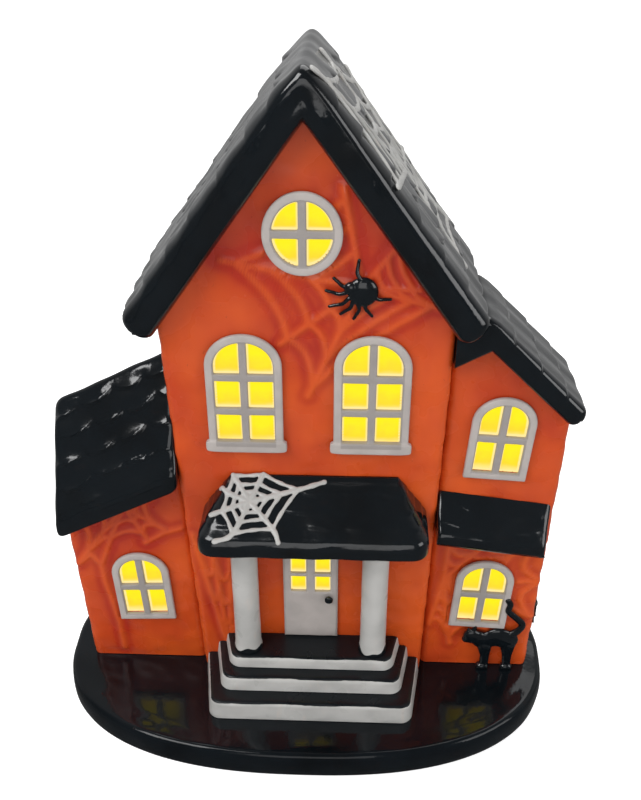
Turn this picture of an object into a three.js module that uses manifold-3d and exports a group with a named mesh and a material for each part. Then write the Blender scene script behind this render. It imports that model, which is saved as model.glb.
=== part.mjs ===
// Ceramic haunted house with a battery light module in its base.
// Millimetres, +Z up, +Y towards the back of the house.
// Origin: centre of the base outline, at the height on which the feet stand.

import * as THREE from "three";
import { ConvexGeometry } from "three/addons/geometries/ConvexGeometry.js";
import { mergeVertices } from "three/addons/utils/BufferGeometryUtils.js";
import Module from "manifold-3d";

const wasm = await Module();
wasm.setup();

// Fits
const SEAT = 0.3; // gap of a luted or glued joint
const RUN = 0.3; // running clearance of the parts that move
const FAR = 400; // reach of a cutting tool past the piece that it trims
const OVERCUT = 1; // a cutting tool starts this far outside the face that it opens

// Base
const BASE_WIDTH = 221;
const BASE_DEPTH = 132;
const BASE_CORNER = 2.4; // exponent of the superellipse that the base follows
const BASE_TOP = 15;
const BASE_WALL = 16; // solid rim round the hollow underside
const BASE_TOP_PLATE = 4.5;
const REBATE_WIDTH = 4;
const FOOT_DIAMETER = 8;
const FOOT_HEIGHT = 1.2;

// Main house
const HOUSE_X = 2; // ridge line
const HOUSE_FOOT_X = 3.6; // the foot stands a little off the ridge line
const HOUSE_FRONT = -17;
const HOUSE_DEPTH = 59;
const HOUSE_FOOT_WIDTH = 98.6;
const HOUSE_EAVE_WIDTH = 109.4;
const HOUSE_EAVE = 187;
const GABLE_TOP = 263.4; // underside of the ridge
const WALL = 4.5;
const WALL_ROUND = 3;
const PORT_WIDTH = 18; // light passages into the wings
const PORT_BOTTOM = 24;
const PORT_HEIGHT = 52;
const PORT_ROUND = 3;

// Main roof
const ROOF_PITCH = 54.2;
const ROOF_HALF_SPAN = 56;
const ROOF_THICKNESS = 12.5;
const ROOF_OVERHANG = 8;
const ROOF_ROUND = 3;
const RIDGE_ROUND = 8;
const EAVE_ROUND = 5;
const ROOF_COURSES = 7;
const COURSE_RISE = 1.3; // a shingle's butt stands this far off the roof
const COURSE_START = 4; // the first course starts this far beside the ridge
const COURSE_STOP = 2; // the last course stops this far before the eave
const ROOF_SKIN = 5; // thickness left above the hollow under the roof

// Left wing
const WING_FRONT = -12;
const LEFT_FOOT_X = -98.6;
const LEFT_FLARE = 3.4; // the end wall leans out by this much at its eave
const LEFT_DEPTH = 32;
const LEFT_RIDGE = 158.8; // height of the ridge above LEFT_TILT_X
const LEFT_EAVE = 110.5;
const LEFT_TILT_X = -75;
const LEFT_TILT = 0.5; // rise of ridge and eave per unit of width
const LEFT_ROOF_THICKNESS = 8;
const LEFT_ROOF_OVERHANG = 8;
const LEFT_ROOF_END = -102.6;
const LEFT_COURSES = 5;
const LEFT_COURSE_START = 2.5;
const LEFT_COURSE_STOP = 1;
const LEFT_ROOF_ROUND = 1.5;
const LEFT_EAVE_ROUND = 3;
const LEFT_LIP_HEIGHT = 5.6; // front of the eave, which leans in towards its foot
const LEFT_LIP_LEAN = 1.4;

// Right wing
const RIGHT_FOOT_X = 102;
const RIGHT_FLARE = 3;
const RIGHT_DEPTH = 30;
const RIGHT_APEX_X = 70;
const RIGHT_APEX = 180.5; // underside of the ridge
const RIGHT_PITCH = 43.8;
const RIGHT_SHORT_PITCH = 29;
const RIGHT_ROOF_HALF = 33.6;
const RIGHT_ROOF_THICKNESS = 8.6;
const RIGHT_ROOF_OVERHANG = 7;
const RIGHT_ROOF_BACK = 6;
const RIGHT_COURSES = 4;
const RIGHT_COURSE_START = 3;
const RIGHT_EAVE_ROUND = 4;
const RIGHT_CROWN = 1.5; // the ridge stands this much above the meeting of its slopes
const RIGHT_PORT_HEIGHT = 126;

// Band of roof across the right wing
const SKIRT_TOP = 111;
const SKIRT_BOTTOM = 91.5;
const SKIRT_REACH = 12.8;
const SKIRT_TILT = -0.13;
const SKIRT_LIP = 5;
const SKIRT_LIP_LEAN = 0.8;
const SKIRT_ROUND = 2.5;
const SKIRT_FOOT_ROUND = 1.5;
const SKIRT_COURSES = 3;
const SKIRT_HIP = 3.5; // the front edge ends this much short of the wall's corner
const SKIRT_COURSE_STOP = 1.5; // the courses end this far before the wall's corner

// Porch
const PORCH_X = 5;
const PORCH_RIDGE = 124;
const PORCH_RIDGE_WIDTH = 66;
const PORCH_EAVE = 107;
const PORCH_EAVE_WIDTH = 91.6;
const PORCH_REACH = 24;
const PORCH_BOTTOM = 100.8;
const PORCH_BOTTOM_WIDTH = 83;
const PORCH_LIP = 3; // cut off the eave's corners
const PORCH_LIP_HEIGHT = 2;
const PORCH_CREST = 1; // the ridge is rounded over this height
const COLUMN_DIAMETER = 12;
const COLUMN_SPACING = 54.6;
const COLUMN_REACH = 7.4;
const COLUMN_FLARE = 0.5; // the foot is this much wider all round
const COLUMN_FLARE_HEIGHT = 2;

// Steps, from the lowest to the landing
const STEP_X = 3.8;
const STEP_TOPS = [24, 31, 36.5];
const STEP_REACH = [30, 22.2, 15.5];
const STEP_FRONT_WIDTH = [87, 77.5, 70.5];
const STEP_BACK_WIDTH = [97, 86.5, 78];
const STEP_DRAFT = 1.2;

// Windows: x and z of the centre, width, height and tilt in degrees
const FRAME_BAND = 3.4;
const FRAME_PROUD = 2.2;
const FRAME_SOFTENING = 0.7; // rounding of a frame's edges
const MUNTIN = 3;
const BAR_SET_BACK = 0.3; // the glazing bars lie this far behind the frame's face
const PANE_THICKNESS = 1.2;
const PANE_MARGIN = 0.5; // a pane reaches this far behind its frame
const ARC = 7; // segments of a window's curves
const ARCH_RISE = 0.46; // of the window's width
const SILL_PROUD = 0.8; // the sill stands this far in front of the frame
const SILL_ROUND = 1;
const SILL_SOFTENING = 0.6;
const OFF_RIDGE = 0.8; // the attic window lies left of the ridge line, the tall pair right of it
const SILL_WIDER = 2.6;
const SILL_HEIGHT = 5;
const TALL_WIDTH = 29;
const TALL_HEIGHT = 50.8;
const TALL_Z = 161.5;
const TALL_SPACING = 48.2;
const SMALL_WIDTH = 25.2;
const SMALL_HEIGHT = 38;
const ATTIC_WIDTH = 28;
const ATTIC_HEIGHT = 30.2;
const ATTIC_Z = 225.2;
const LEFT_WINDOW_X = -71.2;
const LEFT_WINDOW_Z = 59;
const LEFT_WINDOW_TILT = 2.5;
const RIGHT_WINDOW_X = 78;
const RIGHT_LOW_Z = 59;
const RIGHT_LOW_TILT = -3;
const RIGHT_HIGH_Z = 140.2;
const RIGHT_HIGH_TILT = -3.6;

// Front door
const DOOR_X = 3.2;
const DOOR_WIDTH = 23.4;
const DOOR_TOP = 86;
const DOOR_THICKNESS = 1.6;
const DOOR_SOFTENING = 0.4;
const LIGHT_WIDTH = 6.6;
const LIGHT_HEIGHT = 8.4;
const LIGHT_BAR = 3.8; // between the two columns of lights
const LIGHT_RAIL = 1.7; // between their two rows
const LIGHTS_BOTTOM = 63.3;
const KNOB_DIAMETER = 3.6;
const KNOB_REACH = 2.2;
const KNOB_X = 7.9; // from the middle of the door
const KNOB_Z = 60.2;

// Applied figures
const SPIDER_X = 21.8;
const SPIDER_Z = 204.8;
const SPIDER_BODY = [11.5, 12.6, 7.1]; // across, along and off the wall, where it is cut in half
const SPIDER_LEGS = [
  [-1, 11.5],
  [-9.7, 4.7],
  [-12.4, 0],
  [-11.2, -6.1],
  [-7.2, -9],
  [-2.5, -10.8],
  [4, -9.7],
  [10.4, -3.1],
]; // tips, across and up from the body's middle
const LEG_DIAMETER = 1.3;
const LEG_ARCH = [
  [0.25, 1.4],
  [0.7, 1.8],
  [0.85, 1.2],
  [1, LEG_DIAMETER / 2],
]; // share of the way to the tip, and height off the wall
const SIDE_SPIDER_Y = 0;
const SIDE_SPIDER_Z = 44;
const SIDE_SPIDER_SIZE = 0.8; // of the spider in the gable
const CAT_FROM_CORNER = 17; // the cat's middle stands this far from the right wing's corner
const CAT_THICKNESS = 4;
const CAT_SOFTENING = 0.7;
const CAT_EAR_INSET = 0.5;
const CAT_TAIL_DIAMETER = 3.2;

// Light module: three standard AAA cells
const CELL_DIAMETER = 10.5;
const CELL_LENGTH = 44.5;
const CELL_PITCH = 11.2;
const CELL_BUTTON = 3.8;
const CELL_BUTTON_LENGTH = 1;
const MODULE_X = 3;
const MODULE_Y = 12;
const COVER_Z = 3; // underside of the bottom plate and of the battery cover
const PLATE_THICKNESS = 2.5;
const HOUSING_WALL = 2.4;
const HOUSING_ROOF = 1.8;
const COVER_THICKNESS = 1.6;
const COVER_LEDGE = 1.4;
const COVER_PIN = 1.6;
const COVER_EAR = 1.5;
const LATCH_WIDTH = 8;
const LATCH_HEIGHT = 5;
const LATCH_THICKNESS = 1;
const SPRING_LENGTH = 3.6;
const SPRING_DIAMETER = 5.6;
const CONTACT_MARGIN = 1; // of a contact strip round its springs
const DIMPLE_LENGTH = 0.8;
const CONTACT_THICKNESS = 0.5;
const CONTACT_HEIGHT = 8;
const TAB_WIDTH = 3;
const TAB_REACH = 2;
const SWITCH_OFFSET = 54;
const SLIDER_LENGTH = 5;
const SLIDER_WIDTH = 3;
const SLIDER_PROUD = 1.4;
const SLIDER_TRAVEL = 3;
const SLIDER_FLANGE = 1.2;
const SLIDER_SHOULDER = 1; // the flange is this much wider on both sides
const GROOVE_WIDTH = 0.6;
const GROOVE_DEPTH = 0.5;
const GROOVE_LENGTH = 4;
const SWITCH_LENGTH = 14;
const SWITCH_WIDTH = 8;
const SWITCH_HEIGHT = 4.1;
const BOARD_LENGTH = 40;
const BOARD_WIDTH = 26;
const BOARD_THICKNESS = 1.6;
const BOSS_HEIGHT = 2;
const BOSS_DIAMETER = 4.4;
const STAKE_DIAMETER = 2;
const STAKE_PROUD = 0.8; // the stakes stand this far out of the board
const BOSS_INSET = 3.5;
const LED_DIAMETER = 5;
const LED_HEIGHT = 8.6;
const LED_SPACING = 12;
const LED_COLLAR = 0.4; // the collar stands out by this much, and is as high as COLLAR_HEIGHT
const COLLAR_HEIGHT = 1;
const WIRE_DIAMETER = 1.3;
const WIRE_NOTCH = 6;
const LEAD_SPREAD = 4; // the switch leads cross the board's end this far from the middle line
const SWITCH_SPREAD = 2; // and meet the switch this far from it
const LEAD_BEND = 2; // they run this far outside the housing's end
const BOARD_INSET = 2; // leads end this far inside the board's ends
const CHIP_SIZE = 5;
const CHIP_HEIGHT = 1.6;
const CHIP_Y = 7.5; // from the board's middle
const CHIP_SOFTENING = 0.3;

// Colours of the glazes and of the module's materials
const ORANGE_GLAZE = { color: 0xd4541f, roughness: 0.22 };
const BLACK_GLAZE = { color: 0x14191c, roughness: 0.15 };
const WHITE_GLAZE = { color: 0xcfcdc8, roughness: 0.3 };
const GREY_GLAZE = { color: 0xaaa5a3, roughness: 0.4 };
const AMBER_FILM = { color: 0xffdf3a, roughness: 0.5, emissive: 0xffc81e };
const DARK_PLASTIC = { color: 0x1d1e20, roughness: 0.55 };
const GREY_PLASTIC = { color: 0x8b8d90, roughness: 0.5 };
const RUBBER = { color: 0x2b2b2c, roughness: 0.9 };
const STEEL = { color: 0xb9bcc0, roughness: 0.35, metalness: 1 };
const CELL_JACKET = { color: 0x3d6b4a, roughness: 0.4 };
const BOARD_GREEN = { color: 0x1f5a35, roughness: 0.5 };
const LED_CLEAR = { color: 0xfff2c4, roughness: 0.2 };
const WIRE_RED = { color: 0xb3211c, roughness: 0.6 };
const WIRE_BLACK = { color: 0x1a1a1a, roughness: 0.6 };
const WIRE_YELLOW = { color: 0xd9a81e, roughness: 0.6 };

// Derived levels and places
const plinthBottom = FOOT_HEIGHT + SEAT;
const plinthRound = (BASE_TOP - plinthBottom) / 2 - 0.5;
const footing = BASE_TOP + SEAT;
const houseBack = HOUSE_FRONT + HOUSE_DEPTH;
const faceOfHouse = HOUSE_FRONT - SEAT;
const faceOfWing = WING_FRONT - SEAT;
const plateTop = COVER_Z + PLATE_THICKNESS;
const landing = STEP_TOPS[STEP_TOPS.length - 1];
const catX = RIGHT_FOOT_X - CAT_FROM_CORNER;
const toRadians = THREE.MathUtils.degToRad;

// Solids: a closed three.js geometry becomes a manifold, and back

function solid(geometry) {
  const plain = geometry.index ? geometry.toNonIndexed() : geometry.clone();
  plain.deleteAttribute("normal");
  plain.deleteAttribute("uv");
  const merged = mergeVertices(plain, 1e-4);
  return new wasm.Manifold(
    new wasm.Mesh({
      numProp: 3,
      vertProperties: merged.attributes.position.array,
      triVerts: new Uint32Array(merged.index.array),
    }),
  );
}

function geometryOf(manifold) {
  const mesh = manifold.getMesh();
  const geometry = new THREE.BufferGeometry();
  const positions = new Float32Array(mesh.vertProperties);
  geometry.setAttribute("position", new THREE.BufferAttribute(positions, 3));
  geometry.setIndex(new THREE.BufferAttribute(new Uint32Array(mesh.triVerts), 1));
  const flat = geometry.toNonIndexed();
  flat.computeVertexNormals();
  return flat;
}

const joined = (first, ...rest) => rest.reduce((sum, next) => sum.add(next), first);
const trimmed = (first, ...tools) => tools.reduce((left, tool) => left.subtract(tool), first);

// Outlines: each corner is [u, v] or [u, v, radius]

function outline(corners) {
  const shape = new THREE.Shape();
  const count = corners.length;
  corners.forEach(([u, v, radius = 0], index) => {
    const corner = new THREE.Vector2(u, v);
    const before = new THREE.Vector2(...corners[(index + count - 1) % count].slice(0, 2));
    const after = new THREE.Vector2(...corners[(index + 1) % count].slice(0, 2));
    const start = corner.clone().add(before.sub(corner).setLength(radius));
    const end = corner.clone().add(after.sub(corner).setLength(radius));
    if (index === 0) shape.moveTo(start.x, start.y);
    else shape.lineTo(start.x, start.y);
    if (radius > 0) shape.quadraticCurveTo(corner.x, corner.y, end.x, end.y);
  });
  return shape;
}

function rectangle(u0, u1, v0, v1, radius = 0) {
  return outline([
    [u0, v0, radius],
    [u1, v0, radius],
    [u1, v1, radius],
    [u0, v1, radius],
  ]);
}

// A prism of a shape, its ends rounded by a bevel that keeps the outline's own size
function prism(shape, depth, round = 0, curveSegments = 3, bevelSegments = 2) {
  return new THREE.ExtrudeGeometry(shape, {
    depth: depth - 2 * round,
    steps: 1,
    curveSegments,
    bevelEnabled: round > 0,
    bevelThickness: round,
    bevelSize: round,
    bevelOffset: -round,
    bevelSegments,
  }).translate(0, 0, round);
}

const X = new THREE.Vector3(1, 0, 0);
const Y = new THREE.Vector3(0, 1, 0);
const Z = new THREE.Vector3(0, 0, 1);

// Shape in x and z, carried from y0 to y1
function alongY(shape, y0, y1, ...options) {
  return prism(shape, y1 - y0, ...options)
    .rotateX(Math.PI / 2)
    .translate(0, y1, 0);
}

// Shape in y and z, carried from x0 to x1
function alongX(shape, x0, x1, ...options) {
  const turn = new THREE.Matrix4().makeBasis(Y, Z, X);
  return prism(shape, x1 - x0, ...options)
    .applyMatrix4(turn)
    .translate(x0, 0, 0);
}

// Shape in x and y, carried from z0 to z1
function alongZ(shape, z0, z1, ...options) {
  return prism(shape, z1 - z0, ...options).translate(0, 0, z0);
}

function box(x0, x1, y0, y1, z0, z1) {
  return solid(alongZ(rectangle(x0, x1, y0, y1), z0, z1));
}

// Turned part: profile of [radius, height] from axis to axis, standing on z = 0
function turned(profile, segments = 16) {
  const points = profile.map(([radius, height]) => new THREE.Vector2(radius, height));
  return new THREE.LatheGeometry(points, segments).rotateX(Math.PI / 2);
}

function rod(diameter, length, segments = 16) {
  return turned(
    [
      [0, 0],
      [diameter / 2, 0],
      [diameter / 2, length],
      [0, length],
    ],
    segments,
  );
}

// Round tube along a list of [x, y, z] points
function strand(points, diameter, { sides = 6, steps = 10, tension = 0.5 } = {}) {
  const path = new THREE.CatmullRomCurve3(
    points.map((point) => new THREE.Vector3(...point)),
    false,
    "catmullrom",
    tension,
  );
  const section = new THREE.Shape(
    Array.from({ length: sides }, (_, index) => {
      const angle = (2 * Math.PI * index) / sides;
      return new THREE.Vector2(Math.cos(angle), Math.sin(angle)).multiplyScalar(diameter / 2);
    }),
  );
  return new THREE.ExtrudeGeometry(section, { steps, extrudePath: path });
}

// Superellipse |x / a| ^ n + |y / b| ^ n = 1
function superellipse(a, b, count) {
  return Array.from({ length: count }, (_, index) => {
    return superellipsePoint(a, b, (2 * Math.PI * index) / count);
  });
}

function superellipsePoint(a, b, angle) {
  const power = 2 / BASE_CORNER;
  const x = a * Math.sign(Math.cos(angle)) * Math.abs(Math.cos(angle)) ** power;
  const y = b * Math.sign(Math.sin(angle)) * Math.abs(Math.sin(angle)) ** power;
  return new THREE.Vector2(x, y);
}

// Everything on or above a line through z = level(u), as a shape in u and z
function above(corners) {
  const last = corners[corners.length - 1];
  return outline([...corners, [last[0], FAR], [corners[0][0], FAR]]);
}

// Shingle courses: wedges whose butts stand proud of a slope that falls from top to foot
function courses(top, foot, count, carry) {
  const slope = new THREE.Vector2(foot[0] - top[0], foot[1] - top[1]);
  const length = slope.length();
  const down = slope.clone().divideScalar(length);
  const out = new THREE.Vector2(-down.y, down.x);
  if (out.y < 0) out.negate();
  const at = (along, off) => [
    top[0] + down.x * along + out.x * off,
    top[1] + down.y * along + out.y * off,
  ];
  return Array.from({ length: count }, (_, index) => {
    const head = (length * index) / count;
    const butt = (length * (index + 1)) / count;
    return carry(
      outline([at(head, -COURSE_RISE), at(head, 0), at(butt, COURSE_RISE), at(butt, -COURSE_RISE)]),
    );
  });
}

// The scene: every mesh gets its name and its own material

const house = new THREE.Group();

function add(name, shape, material) {
  const geometry = shape.isBufferGeometry ? shape : geometryOf(shape);
  const mesh = new THREE.Mesh(geometry, new THREE.MeshStandardMaterial(material));
  mesh.name = name;
  house.add(mesh);
  return mesh;
}

// Base

const baseWall = { a: BASE_WIDTH / 2 - BASE_WALL, b: BASE_DEPTH / 2 - BASE_WALL };
const baseInner = { a: baseWall.a - REBATE_WIDTH, b: baseWall.b - REBATE_WIDTH };
const bayLength =
  CELL_LENGTH + SPRING_LENGTH + DIMPLE_LENGTH + 2 * (CONTACT_THICKNESS + SEAT) + 2 * SEAT;
const bayWidth = 3 * CELL_PITCH;
const housingHalfX = bayLength / 2 + HOUSING_WALL;
const housingHalfY = bayWidth / 2 + HOUSING_WALL;
const cellAxis = COVER_Z + COVER_THICKNESS + RUN + CELL_DIAMETER / 2;
const bayTop = cellAxis + CELL_DIAMETER / 2 + SEAT;
const housingTop = bayTop + HOUSING_ROOF;

function basePlinth() {
  const rim = new THREE.Shape(superellipse(BASE_WIDTH / 2, BASE_DEPTH / 2, 60));
  const slab = solid(alongZ(rim, plinthBottom, BASE_TOP, plinthRound, 1, 4));
  const rebate = new THREE.Shape(superellipse(baseWall.a, baseWall.b, 44));
  const hollow = new THREE.Shape(superellipse(baseInner.a, baseInner.b, 44));
  const moduleHole = rectangle(
    MODULE_X - housingHalfX - 2 * SEAT,
    MODULE_X + housingHalfX + 2 * SEAT,
    MODULE_Y - housingHalfY - 2 * SEAT,
    MODULE_Y + housingHalfY + 2 * SEAT,
    2,
  );
  const notchStart = MODULE_X + housingHalfX - OVERCUT;
  const wireNotch = box(
    notchStart,
    notchStart + WIRE_NOTCH,
    MODULE_Y - WIRE_NOTCH,
    MODULE_Y + WIRE_NOTCH,
    plateTop,
    BASE_TOP + OVERCUT,
  );
  return trimmed(
    slab,
    solid(alongZ(rebate, plinthBottom - OVERCUT, plateTop + SEAT)),
    solid(alongZ(hollow, plateTop, BASE_TOP - BASE_TOP_PLATE)),
    solid(alongZ(moduleHole, plateTop, BASE_TOP + OVERCUT)),
    wireNotch,
  );
}

function feet() {
  const a = BASE_WIDTH / 2 - plinthRound - (BASE_WALL - plinthRound) / 2;
  const b = BASE_DEPTH / 2 - plinthRound - (BASE_WALL - plinthRound) / 2;
  ["back_right", "back_left", "front_left", "front_right"].forEach((corner, index) => {
    const place = superellipsePoint(a, b, Math.PI / 4 + (Math.PI / 2) * index);
    const foot = add("foot_" + corner, rod(FOOT_DIAMETER, FOOT_HEIGHT), RUBBER);
    foot.position.set(place.x, place.y, 0);
  });
}

add("base_plinth", basePlinth(), BLACK_GLAZE);
feet();

// Main roof and walls. Roof heights are measured on the underside.

const roofTangent = Math.tan(toRadians(ROOF_PITCH));
const roofCosine = Math.cos(toRadians(ROOF_PITCH));
const roofSine = Math.sin(toRadians(ROOF_PITCH));

function underRoof(reach, lift = 0) {
  const top = GABLE_TOP + lift / roofCosine;
  return [
    [HOUSE_X - reach, top - reach * roofTangent],
    [HOUSE_X, top],
    [HOUSE_X + reach, top - reach * roofTangent],
  ];
}

function mainRoofShape(grow = 0) {
  const [left, apex, right] = underRoof(ROOF_HALF_SPAN, -grow);
  const thickness = ROOF_THICKNESS + 2 * grow;
  const endX = grow * roofCosine;
  const endZ = grow * roofSine;
  const sideX = thickness * roofSine;
  const sideZ = thickness * roofCosine;
  return outline([
    [left[0] - endX, left[1] - endZ],
    [apex[0], apex[1]],
    [right[0] + endX, right[1] - endZ],
    [right[0] + endX + sideX, right[1] - endZ + sideZ, EAVE_ROUND],
    [apex[0], apex[1] + thickness / roofCosine, RIDGE_ROUND],
    [left[0] - endX - sideX, left[1] - endZ + sideZ, EAVE_ROUND],
  ]);
}

function mainRoof() {
  const front = HOUSE_FRONT - ROOF_OVERHANG;
  const back = houseBack + ROOF_OVERHANG;
  const slab = solid(alongY(mainRoofShape(), front, back, ROOF_ROUND));
  const top = [HOUSE_X, GABLE_TOP + ROOF_THICKNESS / roofCosine];
  const carry = (shape) => solid(alongY(shape, front + ROOF_ROUND, back - ROOF_ROUND));
  const slopes = [-1, 1].flatMap((side) => {
    const head = [top[0] + side * COURSE_START, top[1] - COURSE_START * roofTangent];
    const run = ROOF_HALF_SPAN + ROOF_THICKNESS * roofSine - COURSE_STOP;
    const foot = [top[0] + side * run, top[1] - run * roofTangent];
    return courses(head, foot, ROOF_COURSES, carry);
  });
  const reach = ROOF_HALF_SPAN - 2 * WALL;
  const hollow = alongY(
    outline([
      ...underRoof(reach, ROOF_THICKNESS - ROOF_SKIN),
      [HOUSE_X + reach, BASE_TOP],
      [HOUSE_X - reach, BASE_TOP],
    ]),
    HOUSE_FRONT + WALL,
    houseBack - WALL,
  );
  return trimmed(joined(slab, ...slopes), solid(hollow));
}

// Outline of the house seen from the front, moved out by grow
function houseShape(grow = 0) {
  const foot = HOUSE_FOOT_WIDTH / 2 + grow;
  const eave = HOUSE_EAVE_WIDTH / 2 + grow;
  const lean = (eave - foot) / (HOUSE_EAVE - BASE_TOP);
  const shift = (HOUSE_X - HOUSE_FOOT_X) / (HOUSE_EAVE - BASE_TOP);
  const at = (side, z) => [
    HOUSE_FOOT_X + shift * (z - BASE_TOP) + side * (foot + lean * (z - BASE_TOP)),
    z,
  ];
  const low = BASE_TOP - 3 * WALL_ROUND;
  const high = GABLE_TOP + 3 * WALL_ROUND;
  return outline([at(-1, low), at(1, low), at(1, high), at(-1, high)]);
}

const belowFooting = box(-FAR, FAR, -FAR, FAR, -FAR, footing);
const houseGrown = solid(alongY(houseShape(SEAT), -FAR, FAR));

function houseWalls() {
  const block = solid(alongY(houseShape(), HOUSE_FRONT, houseBack, WALL_ROUND));
  const room = solid(alongY(houseShape(-WALL), HOUSE_FRONT + WALL, houseBack - WALL));
  const roofLine = solid(alongY(above(underRoof(2 * ROOF_HALF_SPAN, -SEAT)), -FAR, FAR));
  const leftPort = lightPort(-1, LEFT_DEPTH, PORT_HEIGHT);
  const rightPort = lightPort(1, RIGHT_DEPTH, RIGHT_PORT_HEIGHT);
  return trimmed(block, room, roofLine, belowFooting, leftPort, rightPort);
}

// Passage through a side wall into a wing, in the middle of the wing's depth
function lightPort(side, depth, height) {
  const middle = WING_FRONT + depth / 2;
  const shape = rectangle(
    middle - PORT_WIDTH / 2,
    middle + PORT_WIDTH / 2,
    PORT_BOTTOM,
    PORT_BOTTOM + height,
    PORT_ROUND,
  );
  const start = Math.min(HOUSE_FOOT_X, HOUSE_FOOT_X + side * HOUSE_EAVE_WIDTH);
  return solid(alongX(shape, start, start + HOUSE_EAVE_WIDTH));
}

// Left wing: a roof whose ridge and eave both climb towards the house

const leftMiddle = WING_FRONT + LEFT_DEPTH / 2;
const leftRun = leftMiddle - (WING_FRONT - LEFT_ROOF_OVERHANG);
const leftFall = (LEFT_RIDGE - LEFT_EAVE) / leftRun;
const leftDrop = LEFT_ROOF_THICKNESS * Math.hypot(1, leftFall);

function tilted(geometry, slope, x0) {
  const shear = new THREE.Matrix4().set(
    1, 0, 0, 0,
    0, 1, 0, 0,
    slope, 0, 1, -slope * x0,
    0, 0, 0, 1,
  );
  return geometry.applyMatrix4(shear);
}

function leftUnder(reach, lift = 0) {
  const top = LEFT_RIDGE - leftDrop + lift * Math.hypot(1, leftFall);
  return [
    [leftMiddle - reach, top - reach * leftFall],
    [leftMiddle, top],
    [leftMiddle + reach, top - reach * leftFall],
  ];
}

function leftRoof() {
  const [frontInner, apex, backInner] = leftUnder(LEFT_DEPTH / 2 + 2 * SEAT);
  const lip = LEFT_EAVE - LEFT_LIP_HEIGHT;
  const lipRun = leftRun - LEFT_LIP_LEAN;
  const shape = outline([
    [leftMiddle - leftRun, LEFT_EAVE, LEFT_EAVE_ROUND],
    [leftMiddle - lipRun, lip],
    frontInner,
    apex,
    backInner,
    [leftMiddle + lipRun, lip],
    [leftMiddle + leftRun, LEFT_EAVE, LEFT_EAVE_ROUND],
    [leftMiddle, LEFT_RIDGE, RIDGE_ROUND],
  ]);
  const carry = (part, x0, round = 0) =>
    solid(tilted(alongX(part, x0, HOUSE_X, round), LEFT_TILT, LEFT_TILT_X));
  const slab = carry(shape, LEFT_ROOF_END, LEFT_ROOF_ROUND);
  const onSlope = (side, run) => [leftMiddle + side * run, LEFT_RIDGE - run * leftFall];
  const slopes = [-1, 1].flatMap((side) =>
    courses(
      onSlope(side, LEFT_COURSE_START),
      onSlope(side, leftRun - LEFT_COURSE_STOP),
      LEFT_COURSES,
      (part) => carry(part, LEFT_ROOF_END + LEFT_ROOF_ROUND),
    ),
  );
  return trimmed(joined(slab, ...slopes), houseGrown);
}

function leftWalls() {
  const eaveRise = LEFT_EAVE - BASE_TOP;
  const wingShape = (inset, low) => {
    const foot = LEFT_FOOT_X + inset;
    const lean = LEFT_FLARE / eaveRise;
    return outline([
      [foot - lean * (low - BASE_TOP), low],
      [HOUSE_X, low],
      [HOUSE_X, HOUSE_EAVE],
      [foot - lean * (HOUSE_EAVE - BASE_TOP), HOUSE_EAVE],
    ]);
  };
  const low = BASE_TOP - 3 * WALL_ROUND;
  const block = alongY(wingShape(0, low), WING_FRONT, WING_FRONT + LEFT_DEPTH, WALL_ROUND);
  const room = alongY(wingShape(WALL, low), WING_FRONT + WALL, WING_FRONT + LEFT_DEPTH - WALL);
  const sky = tilted(
    alongX(above(leftUnder(2 * LEFT_DEPTH, -SEAT)), 2 * LEFT_FOOT_X, HOUSE_X),
    LEFT_TILT,
    LEFT_TILT_X,
  );
  return trimmed(solid(block), solid(room), solid(sky), belowFooting, houseGrown);
}

// Right wing: an unequal gable that tucks under the end of the main roof

const rightTangent = Math.tan(toRadians(RIGHT_PITCH));
const rightCosine = Math.cos(toRadians(RIGHT_PITCH));
const rightSine = Math.sin(toRadians(RIGHT_PITCH));
const shortTangent = Math.tan(toRadians(RIGHT_SHORT_PITCH));

function rightUnder(reach, lift = 0) {
  const top = RIGHT_APEX + lift / rightCosine;
  const left = HOUSE_X;
  return [
    [left, top - (RIGHT_APEX_X - left) * shortTangent],
    [RIGHT_APEX_X, top],
    [RIGHT_APEX_X + reach, top - reach * rightTangent],
  ];
}

function rightRoof() {
  const front = WING_FRONT - RIGHT_ROOF_OVERHANG;
  const back = WING_FRONT + RIGHT_DEPTH + RIGHT_ROOF_BACK;
  const [left, apex, right] = rightUnder(RIGHT_ROOF_HALF);
  const outX = RIGHT_ROOF_THICKNESS * rightSine;
  const outZ = RIGHT_ROOF_THICKNESS * rightCosine;
  const crown = [apex[0] - outX / 2, apex[1] + RIGHT_ROOF_THICKNESS / rightCosine + outX / 2];
  const shape = outline([
    left,
    apex,
    right,
    [right[0] + outX, right[1] + outZ, RIGHT_EAVE_ROUND],
    [crown[0], crown[1] + RIGHT_CROWN, RIDGE_ROUND],
    [left[0], crown[1] - (crown[0] - left[0]) * shortTangent],
  ]);
  const slab = solid(alongY(shape, front, back, ROOF_ROUND));
  const foot = [right[0] + outX - COURSE_STOP, right[1] + outZ + COURSE_STOP * rightTangent];
  const head = [crown[0] + RIGHT_COURSE_START, crown[1] - RIGHT_COURSE_START * rightTangent];
  const carry = (part) => solid(alongY(part, front + ROOF_ROUND, back - ROOF_ROUND));
  const slopes = courses(head, foot, RIGHT_COURSES, carry);
  const mainRoofGrown = alongY(
    mainRoofShape(SEAT + COURSE_RISE),
    HOUSE_FRONT - ROOF_OVERHANG - SEAT,
    houseBack + ROOF_OVERHANG + SEAT,
  );
  return trimmed(joined(slab, ...slopes), houseGrown, solid(mainRoofGrown));
}

const rightEaveRise = RIGHT_APEX - BASE_TOP;

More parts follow.
